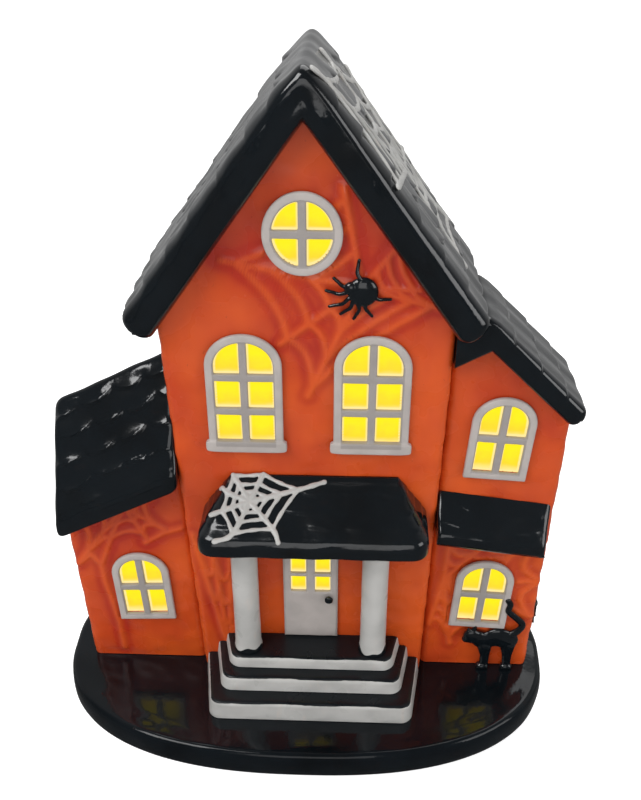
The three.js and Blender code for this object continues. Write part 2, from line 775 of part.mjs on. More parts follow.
function rightWalls() {
  const wingShape = (inset, low) => {
    const foot = RIGHT_FOOT_X - inset;
    const lean = RIGHT_FLARE / rightEaveRise;
    return outline([
      [HOUSE_X, low],
      [foot + lean * (low - BASE_TOP), low],
      [foot + lean * (HOUSE_EAVE - BASE_TOP), HOUSE_EAVE],
      [HOUSE_X, HOUSE_EAVE],
    ]);
  };
  const low = BASE_TOP - 3 * WALL_ROUND;
  const block = alongY(wingShape(0, low), WING_FRONT, WING_FRONT + RIGHT_DEPTH, WALL_ROUND);
  const room = alongY(wingShape(WALL, low), WING_FRONT + WALL, WING_FRONT + RIGHT_DEPTH - WALL);
  const sky = alongY(above(rightUnder(2 * RIGHT_ROOF_HALF, -SEAT)), -FAR, FAR);
  return trimmed(solid(block), solid(room), solid(sky), belowFooting, houseGrown);
}

function skirtRoof() {
  const outer = faceOfWing - SKIRT_REACH;
  const shape = outline([
    [faceOfWing, SKIRT_TOP],
    [outer, SKIRT_BOTTOM + SKIRT_LIP, SKIRT_ROUND],
    [outer + SKIRT_LIP_LEAN, SKIRT_BOTTOM, SKIRT_FOOT_ROUND],
    [faceOfWing, SKIRT_BOTTOM],
  ]);
  const middle = (HOUSE_X + HOUSE_EAVE_WIDTH / 2 + RIGHT_FOOT_X) / 2;
  const carry = (part, x1) => solid(tilted(alongX(part, HOUSE_X, x1), SKIRT_TILT, middle));
  const slab = carry(shape, RIGHT_FOOT_X);
  const fall = (SKIRT_TOP - SKIRT_BOTTOM - SKIRT_LIP) / SKIRT_REACH;
  const onSlope = (reach) => [faceOfWing - reach, SKIRT_TOP - reach * fall];
  const slopes = courses(
    onSlope(COURSE_RISE),
    onSlope(SKIRT_REACH - COURSE_RISE / 2),
    SKIRT_COURSES,
    (part) => carry(part, RIGHT_FOOT_X - SKIRT_COURSE_STOP),
  );
  const hip = outline([
    [RIGHT_FOOT_X, faceOfWing],
    [RIGHT_FOOT_X - SKIRT_HIP, outer - COURSE_RISE],
    [RIGHT_FOOT_X - SKIRT_HIP, -FAR],
    [FAR, -FAR],
    [FAR, faceOfWing],
  ]);
  const wallPlane = box(-FAR, FAR, faceOfWing, FAR, -FAR, FAR);
  const body = joined(slab, ...slopes);
  return trimmed(body, solid(alongZ(hip, 0, FAR)), wallPlane, houseGrown);
}

// Windows

// Arch: straight sides up to the springing, then half an ellipse
function archShape(width, height, grow = 0) {
  const half = width / 2 + grow;
  const bottom = -height / 2 - grow;
  const rise = width * ARCH_RISE + grow;
  const spring = height / 2 + grow - rise;
  const shape = new THREE.Shape();
  shape.moveTo(-half, bottom);
  shape.lineTo(half, bottom);
  shape.lineTo(half, spring);
  shape.absellipse(0, spring, half, rise, 0, Math.PI, false, 0);
  return shape;
}

function ovalShape(width, height, grow = 0) {
  const shape = new THREE.Shape();
  shape.absellipse(0, 0, width / 2 + grow, height / 2 + grow, 0, 2 * Math.PI, false, 0);
  return shape;
}

// A window: its opening for the wall, and its frame and pane as nodes
function makeWindow(name, { x, z, width, height, shapeOf, rows, front, tilt = 0, sill = false }) {
  const facing = front - SEAT;
  const place = (geometry) =>
    solid(geometry.rotateY(-toRadians(tilt)).translate(x, 0, z));
  const opening = (grow) => shapeOf(width, height, grow - FRAME_BAND);
  const ring = solid(
    alongY(shapeOf(width, height), facing - FRAME_PROUD, facing, FRAME_SOFTENING, ARC, 1),
  );
  const light = solid(alongY(opening(0), facing - 2 * FRAME_PROUD, facing + OVERCUT, 0, ARC));
  const glazed = height - 2 * FRAME_BAND;
  const barFront = facing - FRAME_PROUD + BAR_SET_BACK;
  const upright = rectangle(-MUNTIN / 2, MUNTIN / 2, -height / 2, height / 2);
  const bars = [solid(alongY(upright, barFront, facing))];
  for (let row = 1; row < rows; row += 1) {
    const level = -height / 2 + FRAME_BAND + (glazed * row) / rows;
    const bar = rectangle(-width / 2, width / 2, level - MUNTIN / 2, level + MUNTIN / 2);
    bars.push(solid(alongY(bar, barFront, facing)));
  }
  const inside = shapeOf(width, height, -FRAME_SOFTENING);
  const within = solid(alongY(inside, facing - FRAME_PROUD, facing, 0, ARC));
  const grid = joined(...bars).intersect(within);
  const parts = [ring.subtract(light), grid];
  if (sill) parts.push(solid(sillBlock(width, height, facing)));
  add(name, joined(...parts).rotate([0, -tilt, 0]).translate([x, 0, z]), GREY_GLAZE);
  const film = alongY(opening(PANE_MARGIN), front, front + PANE_THICKNESS, 0, ARC);
  add(name.replace("frame", "pane"), place(film), AMBER_FILM);
  const hole = opening(PANE_MARGIN + SEAT);
  const clearance = shapeOf(width, height, SEAT);
  return {
    opening: place(alongY(hole, front - OVERCUT, front + WALL + OVERCUT, 0, ARC)),
    clearance: place(alongY(clearance, facing - FRAME_PROUD - SEAT, front, 0, ARC)),
  };
}

function sillBlock(width, height, facing) {
  const half = (width + SILL_WIDER) / 2;
  const shape = rectangle(-half, half, -height / 2, -height / 2 + SILL_HEIGHT, SILL_ROUND);
  return alongY(shape, facing - FRAME_PROUD - SILL_PROUD, facing, SILL_SOFTENING, 2, 1);
}

const tall = {
  width: TALL_WIDTH,
  height: TALL_HEIGHT,
  z: TALL_Z,
  shapeOf: archShape,
  rows: 3,
  front: HOUSE_FRONT,
  sill: true,
};
const small = {
  width: SMALL_WIDTH,
  height: SMALL_HEIGHT,
  shapeOf: archShape,
  rows: 2,
  front: WING_FRONT,
};
const houseMiddle = HOUSE_X + OFF_RIDGE;

const houseWindows = [
  makeWindow("frame_attic", {
    x: HOUSE_X - OFF_RIDGE,
    z: ATTIC_Z,
    width: ATTIC_WIDTH,
    height: ATTIC_HEIGHT,
    shapeOf: ovalShape,
    rows: 2,
    front: HOUSE_FRONT,
  }),
  makeWindow("frame_tall_left", { ...tall, x: houseMiddle - TALL_SPACING / 2 }),
  makeWindow("frame_tall_right", { ...tall, x: houseMiddle + TALL_SPACING / 2 }),
];
const leftWindow = makeWindow("frame_left_wing", {
  ...small,
  x: LEFT_WINDOW_X,
  z: LEFT_WINDOW_Z,
  tilt: LEFT_WINDOW_TILT,
});
const rightWindows = [
  makeWindow("frame_right_lower", {
    ...small,
    x: RIGHT_WINDOW_X,
    z: RIGHT_LOW_Z,
    tilt: RIGHT_LOW_TILT,
  }),
  makeWindow("frame_right_upper", {
    ...small,
    x: RIGHT_WINDOW_X,
    z: RIGHT_HIGH_Z,
    tilt: RIGHT_HIGH_TILT,
  }),
];

// Front door: four small lights over a plain leaf

function doorLights() {
  const cells = [];
  for (const column of [-1, 1]) {
    for (const row of [0, 1]) {
      const middle = DOOR_X + (column * (LIGHT_WIDTH + LIGHT_BAR)) / 2;
      const bottom = LIGHTS_BOTTOM + row * (LIGHT_HEIGHT + LIGHT_RAIL);
      const shape = rectangle(
        middle - LIGHT_WIDTH / 2,
        middle + LIGHT_WIDTH / 2,
        bottom,
        bottom + LIGHT_HEIGHT,
      );
      cells.push(solid(alongY(shape, -FAR, FAR)));
    }
  }
  return joined(...cells);
}

const doorLightsWidth = 2 * LIGHT_WIDTH + LIGHT_BAR;
const doorLightsTop = LIGHTS_BOTTOM + 2 * LIGHT_HEIGHT + LIGHT_RAIL;

function doorOpening(grow) {
  const half = doorLightsWidth / 2 + grow;
  return rectangle(DOOR_X - half, DOOR_X + half, LIGHTS_BOTTOM - grow, doorLightsTop + grow);
}

function frontDoor() {
  const doorFront = faceOfHouse - DOOR_THICKNESS;
  const leaf = rectangle(
    DOOR_X - DOOR_WIDTH / 2,
    DOOR_X + DOOR_WIDTH / 2,
    landing + SEAT,
    DOOR_TOP,
  );
  const door = solid(alongY(leaf, doorFront, faceOfHouse, DOOR_SOFTENING, 1, 1));
  add("front_door", trimmed(door, doorLights()), GREY_GLAZE);
  const knob = turned([
    [0, 0],
    [KNOB_DIAMETER / 4, 0],
    [KNOB_DIAMETER / 4, KNOB_REACH / 3],
    [KNOB_DIAMETER / 2, KNOB_REACH / 2],
    [KNOB_DIAMETER / 3, KNOB_REACH],
    [0, KNOB_REACH],
  ]).rotateX(Math.PI / 2);
  const mesh = add("door_knob", knob, BLACK_GLAZE);
  mesh.position.set(DOOR_X + KNOB_X, doorFront - SEAT, KNOB_Z);
  const film = alongY(doorOpening(PANE_MARGIN), HOUSE_FRONT, HOUSE_FRONT + PANE_THICKNESS);
  add("pane_door", film, AMBER_FILM);
  const hole = doorOpening(PANE_MARGIN + SEAT);
  return solid(alongY(hole, HOUSE_FRONT - OVERCUT, HOUSE_FRONT + WALL + OVERCUT));
}

const doorHole = frontDoor();
const openingsOf = (windows) => windows.map((window) => window.opening);
add(
  "main_house_walls",
  trimmed(houseWalls(), ...openingsOf(houseWindows), doorHole),
  ORANGE_GLAZE,
);
add("main_roof", mainRoof(), BLACK_GLAZE);
add("left_wing_walls", trimmed(leftWalls(), leftWindow.opening), ORANGE_GLAZE);
add("left_wing_roof", leftRoof(), BLACK_GLAZE);
add("right_wing_walls", trimmed(rightWalls(), ...openingsOf(rightWindows)), ORANGE_GLAZE);
add("right_wing_roof", rightRoof(), BLACK_GLAZE);
add("right_wing_skirt_roof", skirtRoof(), BLACK_GLAZE);

// Porch: hipped roof, two columns and three steps

function porchRoof() {
  const corners = (width, y, z) => [
    new THREE.Vector3(PORCH_X - width / 2, y, z),
    new THREE.Vector3(PORCH_X + width / 2, y, z),
  ];
  const front = faceOfHouse - PORCH_REACH;
  const shoulder = front + 2 * PORCH_LIP;
  const rim = (z) => [
    ...corners(PORCH_EAVE_WIDTH, faceOfHouse, z),
    ...corners(PORCH_EAVE_WIDTH, shoulder, z),
    ...corners(PORCH_EAVE_WIDTH - 2 * PORCH_LIP, front, z),
  ];
  const geometry = new ConvexGeometry([
    ...corners(PORCH_RIDGE_WIDTH, faceOfHouse, PORCH_RIDGE),
    ...corners(PORCH_RIDGE_WIDTH + 2 * PORCH_CREST, faceOfHouse - 2 * PORCH_CREST, PORCH_RIDGE - PORCH_CREST),
    ...rim(PORCH_EAVE),
    ...rim(PORCH_EAVE - PORCH_LIP_HEIGHT),
    ...corners(PORCH_BOTTOM_WIDTH, faceOfHouse, PORCH_BOTTOM),
    ...corners(PORCH_BOTTOM_WIDTH, front + PORCH_LIP, PORCH_BOTTOM),
  ]);
  return solid(geometry);
}

function steps() {
  const names = ["step_lower", "step_middle", "step_landing"];
  names.forEach((name, index) => {
    const bottom = index === 0 ? footing : STEP_TOPS[index - 1] + SEAT;
    const front = faceOfHouse - STEP_REACH[index];
    const corners = (draft, z) => [
      new THREE.Vector3(STEP_X - STEP_FRONT_WIDTH[index] / 2 + draft, front + draft, z),
      new THREE.Vector3(STEP_X + STEP_FRONT_WIDTH[index] / 2 - draft, front + draft, z),
      new THREE.Vector3(STEP_X + STEP_BACK_WIDTH[index] / 2 - draft, faceOfHouse, z),
      new THREE.Vector3(STEP_X - STEP_BACK_WIDTH[index] / 2 + draft, faceOfHouse, z),
    ];
    const tier = new ConvexGeometry([
      ...corners(0, bottom),
      ...corners(STEP_DRAFT, STEP_TOPS[index]),
    ]);
    add(name, solid(tier), WHITE_GLAZE);
  });
}

function columns() {
  const length = PORCH_BOTTOM - landing - 2 * SEAT;
  const radius = COLUMN_DIAMETER / 2;
  for (const [side, name] of [
    [-1, "porch_column_left"],
    [1, "porch_column_right"],
  ]) {
    const column = turned(
      [
        [0, 0],
        [radius + COLUMN_FLARE, 0],
        [radius, COLUMN_FLARE_HEIGHT],
        [radius, length],
        [0, length],
      ],
      20,
    );
    const mesh = add(name, column, WHITE_GLAZE);
    const x = DOOR_X + (side * COLUMN_SPACING) / 2;
    mesh.position.set(x, HOUSE_FRONT - COLUMN_REACH, landing + SEAT);
  }
}

add("porch_roof", porchRoof(), BLACK_GLAZE);
steps();
columns();

// Spider: a bead body flattened where it sits, with eight bent legs round it.
// It is made lying on z = 0 and is then turned onto its wall.

function spider(size) {
  const body = new THREE.SphereGeometry(size / 2, 12, 8).scale(...SPIDER_BODY);
  const legs = SPIDER_LEGS.map(([x, y]) => {
    const points = LEG_ARCH.map(([share, height]) => [size * share * x, size * share * y, height]);
    return solid(strand(points, LEG_DIAMETER, { sides: 5, steps: 4 }));
  });
  const flat = box(-FAR, FAR, -FAR, FAR, -FAR, 0);
  return trimmed(joined(solid(body), ...legs), flat);
}

function onFrontWall(figure, x, z) {
  return figure.rotate([90, 0, 0]).translate([x, faceOfHouse, z]);
}

function onRightWall(figure, y, z) {
  const lean = Math.atan(RIGHT_FLARE / rightEaveRise);
  const wall = RIGHT_FOOT_X + Math.tan(lean) * (z - BASE_TOP) + SEAT;
  return figure
    .rotate([0, 0, 90])
    .rotate([0, 90 + THREE.MathUtils.radToDeg(lean), 0])
    .translate([wall, y, z]);
}

add("wall_spider", onFrontWall(spider(1), SPIDER_X, SPIDER_Z), BLACK_GLAZE);
add(
  "side_spider",
  onRightWall(spider(SIDE_SPIDER_SIZE), SIDE_SPIDER_Y, SIDE_SPIDER_Z),
  BLACK_GLAZE,
);

// Cat: an arched silhouette facing left, x from its middle and z from the ground

function cat() {
  const silhouette = [
    [-13.6, 18.4],
    [-12.4, 21.6],
    [-10.2, 24.2],
    [-7.2, 23.2],
    [-4.6, 21.4],
    [-2, 23.6],
    [2, 25],
    [6, 24.4],
    [9.4, 21.4],
    [9.6, 17],
    [8.6, 11],
    [9, 3],
    [10.6, 0.4],
    [5.2, 0.4],
    [5.4, 5],
    [6, 11.5],
    [2.4, 14],
    [-0.6, 11],
    [-0.8, 4],
    [-0.4, 0.4],
    [-5.2, 0.4],
    [-4, 5],
    [-4.6, 12.5],
    [-8.6, 15.6],
    [-12.6, 16],
  ];
  const curve = new THREE.CatmullRomCurve3(
    silhouette.map(([x, z]) => new THREE.Vector3(x, z, 0)),
    true,
    "catmullrom",
    0.4,
  );
  const shape = new THREE.Shape(
    curve.getPoints(2 * silhouette.length).map((point) => new THREE.Vector2(point.x, point.y)),
  );
  const body = solid(alongY(shape, -CAT_THICKNESS, 0, CAT_SOFTENING, 1, 1));
  const tailY = CAT_TAIL_DIAMETER / 2 - CAT_THICKNESS;
  const tailPoints = [
    [8, 21.5],
    [11.4, 24.5],
    [12.2, 28],
    [8.2, 32],
    [5, 35.5],
    [5.6, 39.5],
    [4.2, 42.6],
  ].map(([x, z]) => [x, tailY, z]);
  const tail = solid(strand(tailPoints, CAT_TAIL_DIAMETER, { sides: 8, steps: 14 }));
  const earShape = outline([
    [-10.6, 23],
    [-6.8, 23],
    [-8.2, 26.6],
  ]);
  const ear = solid(alongY(earShape, CAT_EAR_INSET - CAT_THICKNESS, -CAT_EAR_INSET));
  return joined(body, tail, ear);
}

const catFeet = box(-FAR, FAR, -FAR, FAR, -FAR, footing);
const catInPlace = cat().translate([catX, faceOfWing, BASE_TOP]);
add("cat", trimmed(catInPlace, catFeet, rightWindows[0].clearance), BLACK_GLAZE);

// Light module: bottom plate with the battery housing

const bay = {
  x0: MODULE_X - bayLength / 2,
  x1: MODULE_X + bayLength / 2,
  y0: MODULE_Y - bayWidth / 2,
  y1: MODULE_Y + bayWidth / 2,
};
const recess = {
  x0: bay.x0 - COVER_LEDGE,
  x1: bay.x1 + COVER_LEDGE,
  y0: bay.y0 - COVER_LEDGE,
  y1: bay.y1 + COVER_LEDGE,
};
const recessTop = COVER_Z + COVER_THICKNESS + RUN;
const pinX = recess.x0 + RUN + COVER_PIN / 2;
const pinZ = COVER_Z + COVER_THICKNESS / 2;
const coverEnd = recess.x1 - RUN;
const switchX = MODULE_X + SWITCH_OFFSET;
const slotLength = SLIDER_LENGTH + SLIDER_TRAVEL + 2 * RUN;
const slotStart = switchX - slotLength / 2;
const boardBottom = housingTop + BOSS_HEIGHT + SEAT;
const boardTop = boardBottom + BOARD_THICKNESS;
const stakes = [-1, 1].flatMap((i) =>
  [-1, 1].map((j) => [
    MODULE_X + i * (BOARD_LENGTH / 2 - BOSS_INSET),
    MODULE_Y + j * (BOARD_WIDTH / 2 - BOSS_INSET),
  ]),
);

function standing(geometry, x, y, z) {
  return solid(geometry.translate(x, y, z));
}

function tabSlot(x, y, grow) {
  return box(
    x - CONTACT_THICKNESS / 2 - grow,
    x + CONTACT_THICKNESS / 2 + grow,
    y - TAB_WIDTH / 2 - grow,
    y + TAB_WIDTH / 2 + grow,
    bayTop - OVERCUT,
    housingTop + OVERCUT,
  );
}

const contactLeft = bay.x0 + SEAT + CONTACT_THICKNESS / 2;
const contactRight = bay.x1 - SEAT - CONTACT_THICKNESS / 2;

function bottomHousing() {
  const plateShape = new THREE.Shape(superellipse(baseWall.a - SEAT, baseWall.b - SEAT, 44));
  const plate = solid(alongZ(plateShape, COVER_Z, plateTop));
  const shell = box(
    MODULE_X - housingHalfX,
    MODULE_X + housingHalfX,
    MODULE_Y - housingHalfY,
    MODULE_Y + housingHalfY,
    COVER_Z,
    housingTop,
  );
  const bosses = stakes.map(([x, y]) =>
    standing(rod(BOSS_DIAMETER, BOSS_HEIGHT + OVERCUT, 12), x, y, housingTop - OVERCUT),
  );
  const pegs = stakes.map(([x, y]) =>
    standing(rod(STAKE_DIAMETER, boardTop + STAKE_PROUD - housingTop, 8), x, y, housingTop),
  );
  const ears = box(
    pinX - COVER_PIN / 2 - RUN,
    pinX + COVER_PIN / 2 + RUN,
    recess.y0 - COVER_EAR - RUN,
    recess.y1 + COVER_EAR + RUN,
    COVER_Z - OVERCUT,
    recessTop,
  );
  const latchPocket = box(
    coverEnd - LATCH_THICKNESS - RUN,
    coverEnd + 2 * RUN,
    MODULE_Y - LATCH_WIDTH / 2 - RUN,
    MODULE_Y + LATCH_WIDTH / 2 + RUN,
    COVER_Z - OVERCUT,
    COVER_Z + COVER_THICKNESS + LATCH_HEIGHT + RUN,
  );
  const slot = box(
    slotStart,
    slotStart + slotLength,
    MODULE_Y - SLIDER_WIDTH / 2 - RUN,
    MODULE_Y + SLIDER_WIDTH / 2 + RUN,
    COVER_Z - OVERCUT,
    plateTop + OVERCUT,
  );
  return trimmed(
    joined(plate, shell, ...bosses, ...pegs),
    box(bay.x0, bay.x1, bay.y0, bay.y1, COVER_Z - OVERCUT, bayTop),
    box(recess.x0, recess.x1, recess.y0, recess.y1, COVER_Z - OVERCUT, recessTop),
    ears,
    latchPocket,
    slot,
    tabSlot(contactLeft, MODULE_Y - CELL_PITCH, RUN),
    tabSlot(contactRight, MODULE_Y + CELL_PITCH, RUN),
  );
}

function batteryCover() {
  const panel = box(
    pinX,
    coverEnd,
    recess.y0 + RUN,
    recess.y1 - RUN,
    COVER_Z,
    COVER_Z + COVER_THICKNESS,
  );
  const pinLength = recess.y1 - recess.y0 + 2 * COVER_EAR;
  const pin = solid(
    rod(COVER_PIN, pinLength, 16)
      .rotateX(-Math.PI / 2)
      .translate(pinX, recess.y0 - COVER_EAR, pinZ),
  );
  const latch = box(
    coverEnd - LATCH_THICKNESS,
    coverEnd,
    MODULE_Y - LATCH_WIDTH / 2,
    MODULE_Y + LATCH_WIDTH / 2,
    COVER_Z + COVER_THICKNESS / 2,
    COVER_Z + COVER_THICKNESS + LATCH_HEIGHT,
  );
  return joined(panel, pin, latch);
}

// Cells lie side by side along x; the middle one faces the other way.
function cells() {
  ["front", "middle", "back"].forEach((name, index) => {
    const springAtLeft = index !== 1;
    const bodyLength = CELL_LENGTH - CELL_BUTTON_LENGTH;
    const leftGap = SEAT + CONTACT_THICKNESS + (springAtLeft ? SPRING_LENGTH : DIMPLE_LENGTH) + SEAT;
    const cell = turned([
      [0, 0],
      [CELL_DIAMETER / 2, 0],
      [CELL_DIAMETER / 2, bodyLength],
      [CELL_BUTTON / 2, bodyLength],
      [CELL_BUTTON / 2, CELL_LENGTH],
      [0, CELL_LENGTH],
    ]);
    const mesh = add("cell_" + name, cell, CELL_JACKET);
    const start = bay.x0 + leftGap;
    mesh.rotation.y = springAtLeft ? Math.PI / 2 : -Math.PI / 2;
    const x = springAtLeft ? start : start + CELL_LENGTH;
    mesh.position.set(x, MODULE_Y + (index - 1) * CELL_PITCH, cellAxis);
  });
}

// A contact strip at one end of the bay, with a spring or a dimple for each cell that it serves
function contact(name, side, rows, tab) {
  const x = side < 0 ? contactLeft : contactRight;
  const first = MODULE_Y + (rows[0] - 1) * CELL_PITCH;
  const last = MODULE_Y + (rows[rows.length - 1] - 1) * CELL_PITCH;
  const reach = SPRING_DIAMETER / 2 + CONTACT_MARGIN;
  const strip = box(
    x - CONTACT_THICKNESS / 2,
    x + CONTACT_THICKNESS / 2,
    first - reach,
    last + reach,
    cellAxis - CONTACT_HEIGHT / 2,
    cellAxis + CONTACT_HEIGHT / 2,
  );
  const parts = rows.map((row) => {
    const sprung = (row !== 1) === side < 0;
    const length = sprung ? SPRING_LENGTH : DIMPLE_LENGTH;
    const wide = sprung ? SPRING_DIAMETER : CELL_BUTTON;
    const stud = turned(
      [
        [0, 0],
        [wide / 2, 0],
        [wide / 3, length + CONTACT_THICKNESS / 2],
        [0, length + CONTACT_THICKNESS / 2],
      ],
      12,
    ).rotateY((-side * Math.PI) / 2);
    return standing(stud, x, MODULE_Y + (row - 1) * CELL_PITCH, cellAxis);
  });
  if (tab !== undefined) {
    const y = MODULE_Y + (tab - 1) * CELL_PITCH;
    parts.push(
      box(
        x - CONTACT_THICKNESS / 2,
        x + CONTACT_THICKNESS / 2,
        y - TAB_WIDTH / 2,
        y + TAB_WIDTH / 2,
        cellAxis,
        housingTop + TAB_REACH,
      ),
    );
  }
  add(name, joined(strip, ...parts), STEEL);
}

function powerSwitch() {
  const bottom = plateTop + SEAT;
  const cavityTop = bottom + SLIDER_FLANGE + 2 * RUN;
  const flangeHalf = SLIDER_WIDTH / 2 + SLIDER_SHOULDER;
  const body = box(
    switchX - SWITCH_LENGTH / 2,
    switchX + SWITCH_LENGTH / 2,
    MODULE_Y - SWITCH_WIDTH / 2,
    MODULE_Y + SWITCH_WIDTH / 2,
    bottom,
    bottom + SWITCH_HEIGHT,
  );
  const cavity = box(
    slotStart,
    slotStart + slotLength,
    MODULE_Y - flangeHalf - RUN,
    MODULE_Y + flangeHalf + RUN,
    bottom - OVERCUT,
    cavityTop,
  );
  add("switch_body", trimmed(body, cavity), GREY_PLASTIC);
  const start = slotStart + RUN;
  const stem = box(
    start,
    start + SLIDER_LENGTH,
    MODULE_Y - SLIDER_WIDTH / 2,
    MODULE_Y + SLIDER_WIDTH / 2,
    COVER_Z - SLIDER_PROUD,
    bottom + SLIDER_FLANGE / 2,
  );
  const flange = box(
    start,
    start + SLIDER_LENGTH,
    MODULE_Y - flangeHalf,
    MODULE_Y + flangeHalf,
    bottom,
    bottom + SLIDER_FLANGE,
  );
  const grooves = [1, 2, 3].map((index) => {
    const x = start + (SLIDER_LENGTH * index) / 4;
    const low = COVER_Z - SLIDER_PROUD;
    return box(
      x - GROOVE_WIDTH / 2,
      x + GROOVE_WIDTH / 2,
      MODULE_Y - GROOVE_LENGTH / 2,
      MODULE_Y + GROOVE_LENGTH / 2,
      low - OVERCUT,
      low + GROOVE_DEPTH,
    );
  });
  add("switch_slider", trimmed(joined(stem, flange), ...grooves), GREY_PLASTIC);
}

function circuitBoard() {
  const board = box(
    MODULE_X - BOARD_LENGTH / 2,
    MODULE_X + BOARD_LENGTH / 2,
    MODULE_Y - BOARD_WIDTH / 2,
    MODULE_Y + BOARD_WIDTH / 2,
    boardBottom,
    boardTop,
  );
  const holes = stakes.map(([x, y]) =>
    standing(rod(STAKE_DIAMETER + 2 * SEAT, 3 * BOARD_THICKNESS, 8), x, y, boardBottom - OVERCUT),
  );
  add("circuit_board", trimmed(board, ...holes), BOARD_GREEN);
  const radius = LED_DIAMETER / 2;
  const profile = [
    [0, 0],
    [radius + LED_COLLAR, 0],
    [radius + LED_COLLAR, COLLAR_HEIGHT],
    [radius, COLLAR_HEIGHT],
    [radius, LED_HEIGHT - radius],
    [radius * 0.87, LED_HEIGHT - radius * 0.5],
    [radius * 0.5, LED_HEIGHT - radius * 0.13],
    [0, LED_HEIGHT],
  ];
  ["left", "centre", "right"].forEach((name, index) => {
    const led = add("led_" + name, turned(profile, 12), LED_CLEAR);
    led.position.set(MODULE_X + (index - 1) * LED_SPACING, MODULE_Y, boardTop + SEAT);
  });
  const chipX = MODULE_X + LED_SPACING / 2;
  const chipY = MODULE_Y + CHIP_Y;
  const chipShape = rectangle(
    chipX - CHIP_SIZE / 2,
    chipX + CHIP_SIZE / 2,
    chipY - CHIP_SIZE / 2,
    chipY + CHIP_SIZE / 2,
  );
  const chipBottom = boardTop + SEAT;
  const chip = alongZ(chipShape, chipBottom, chipBottom + CHIP_HEIGHT, CHIP_SOFTENING, 1, 1);
  add("timer_chip", chip, DARK_PLASTIC);
}

function wires() {
  const radius = WIRE_DIAMETER / 2;
  const boardLevel = boardTop + SEAT + radius;
  const leadLevel = housingTop + TAB_REACH + SEAT + radius;
  const overNotch = BASE_TOP + WIRE_DIAMETER;
  const underPlate = BASE_TOP - BASE_TOP_PLATE - 2 * WIRE_DIAMETER;
  const bendX = MODULE_X + housingHalfX + LEAD_BEND;
  const switchEnd = switchX - SWITCH_LENGTH / 2 - SEAT;
  const boardEdge = BOARD_LENGTH / 2 - BOARD_INSET;
  const halfSpread = (LEAD_SPREAD + SWITCH_SPREAD) / 2;
  const blackY = MODULE_Y - CELL_PITCH;
  const redY = MODULE_Y + CELL_PITCH;
  const paths = {
    wire_black: [
      [contactLeft, blackY, leadLevel],
      [contactLeft + SWITCH_SPREAD, blackY + LEAD_BEND, boardLevel + WIRE_DIAMETER],
      [MODULE_X - boardEdge, blackY + LEAD_SPREAD, boardLevel],
    ],
    wire_red: [
      [contactRight, redY, leadLevel],
      [contactRight + LEAD_SPREAD, redY - LEAD_BEND, leadLevel],
      [bendX, MODULE_Y + LEAD_SPREAD, overNotch],
      [bendX + LEAD_BEND, MODULE_Y + halfSpread, underPlate],
      [switchEnd, MODULE_Y + SWITCH_SPREAD, underPlate],
    ],
    wire_yellow: [
      [switchEnd, MODULE_Y - SWITCH_SPREAD, underPlate],
      [bendX + LEAD_BEND, MODULE_Y - halfSpread, underPlate],
      [bendX, MODULE_Y - LEAD_SPREAD, overNotch],
      [bendX - LEAD_SPREAD, MODULE_Y - LEAD_SPREAD, boardLevel],
      [MODULE_X + boardEdge, MODULE_Y - LEAD_SPREAD, boardLevel],
    ],
  };
  const colours = { wire_black: WIRE_BLACK, wire_red: WIRE_RED, wire_yellow: WIRE_YELLOW };
  for (const [name, points] of Object.entries(paths)) {
    add(name, strand(points, WIRE_DIAMETER, { steps: 18 }), colours[name]);
  }
}

add("bottom_housing", bottomHousing(), DARK_PLASTIC);
add("battery_cover", batteryCover(), DARK_PLASTIC);
cells();
contact("contact_negative", -1, [0], 0);
contact("contact_bridge_left", -1, [1, 2]);
contact("contact_bridge_right", 1, [0, 1]);
contact("contact_positive", 1, [2], 2);
powerSwitch();
circuitBoard();
wires();

export default house;
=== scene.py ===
"""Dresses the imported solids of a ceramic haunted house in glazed, hand-pressed surfaces.

Lengths in the code are millimetres, and mesh_from turns them into metres. +Z is up, +Y towards the back.
"""

from collections import namedtuple

import bmesh
import bpy
import numpy as np
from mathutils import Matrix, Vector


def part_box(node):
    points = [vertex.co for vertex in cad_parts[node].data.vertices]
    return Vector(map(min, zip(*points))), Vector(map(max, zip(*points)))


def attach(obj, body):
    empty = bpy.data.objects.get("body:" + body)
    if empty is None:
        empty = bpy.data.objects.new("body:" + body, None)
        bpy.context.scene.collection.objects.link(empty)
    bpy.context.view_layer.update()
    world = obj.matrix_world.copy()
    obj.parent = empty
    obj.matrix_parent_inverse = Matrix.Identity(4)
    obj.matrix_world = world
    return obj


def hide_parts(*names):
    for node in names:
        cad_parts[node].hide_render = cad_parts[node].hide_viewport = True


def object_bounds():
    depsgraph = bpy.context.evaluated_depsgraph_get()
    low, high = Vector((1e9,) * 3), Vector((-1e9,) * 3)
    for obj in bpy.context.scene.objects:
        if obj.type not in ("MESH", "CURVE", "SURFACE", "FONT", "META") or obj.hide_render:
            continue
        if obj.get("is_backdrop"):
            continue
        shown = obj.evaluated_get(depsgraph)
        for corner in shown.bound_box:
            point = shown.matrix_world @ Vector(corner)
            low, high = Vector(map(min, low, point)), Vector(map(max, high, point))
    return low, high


bl_info = {
    "name": "Ceramic Haunted House",
    "version": (1, 0, 0),
    "blender": (4, 5, 0),
    "location": "3D View > Sidebar > Haunted House",
    "description": "Builds the glazed surfaces of a lit ceramic haunted house over its solids",
    "category": "Object",
}

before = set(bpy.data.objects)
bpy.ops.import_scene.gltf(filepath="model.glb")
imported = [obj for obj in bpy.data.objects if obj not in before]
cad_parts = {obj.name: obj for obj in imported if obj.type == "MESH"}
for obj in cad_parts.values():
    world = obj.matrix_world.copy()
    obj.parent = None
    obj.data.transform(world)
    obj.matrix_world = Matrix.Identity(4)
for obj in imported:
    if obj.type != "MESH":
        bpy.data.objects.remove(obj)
SOLID_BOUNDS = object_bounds()
MM = 0.001

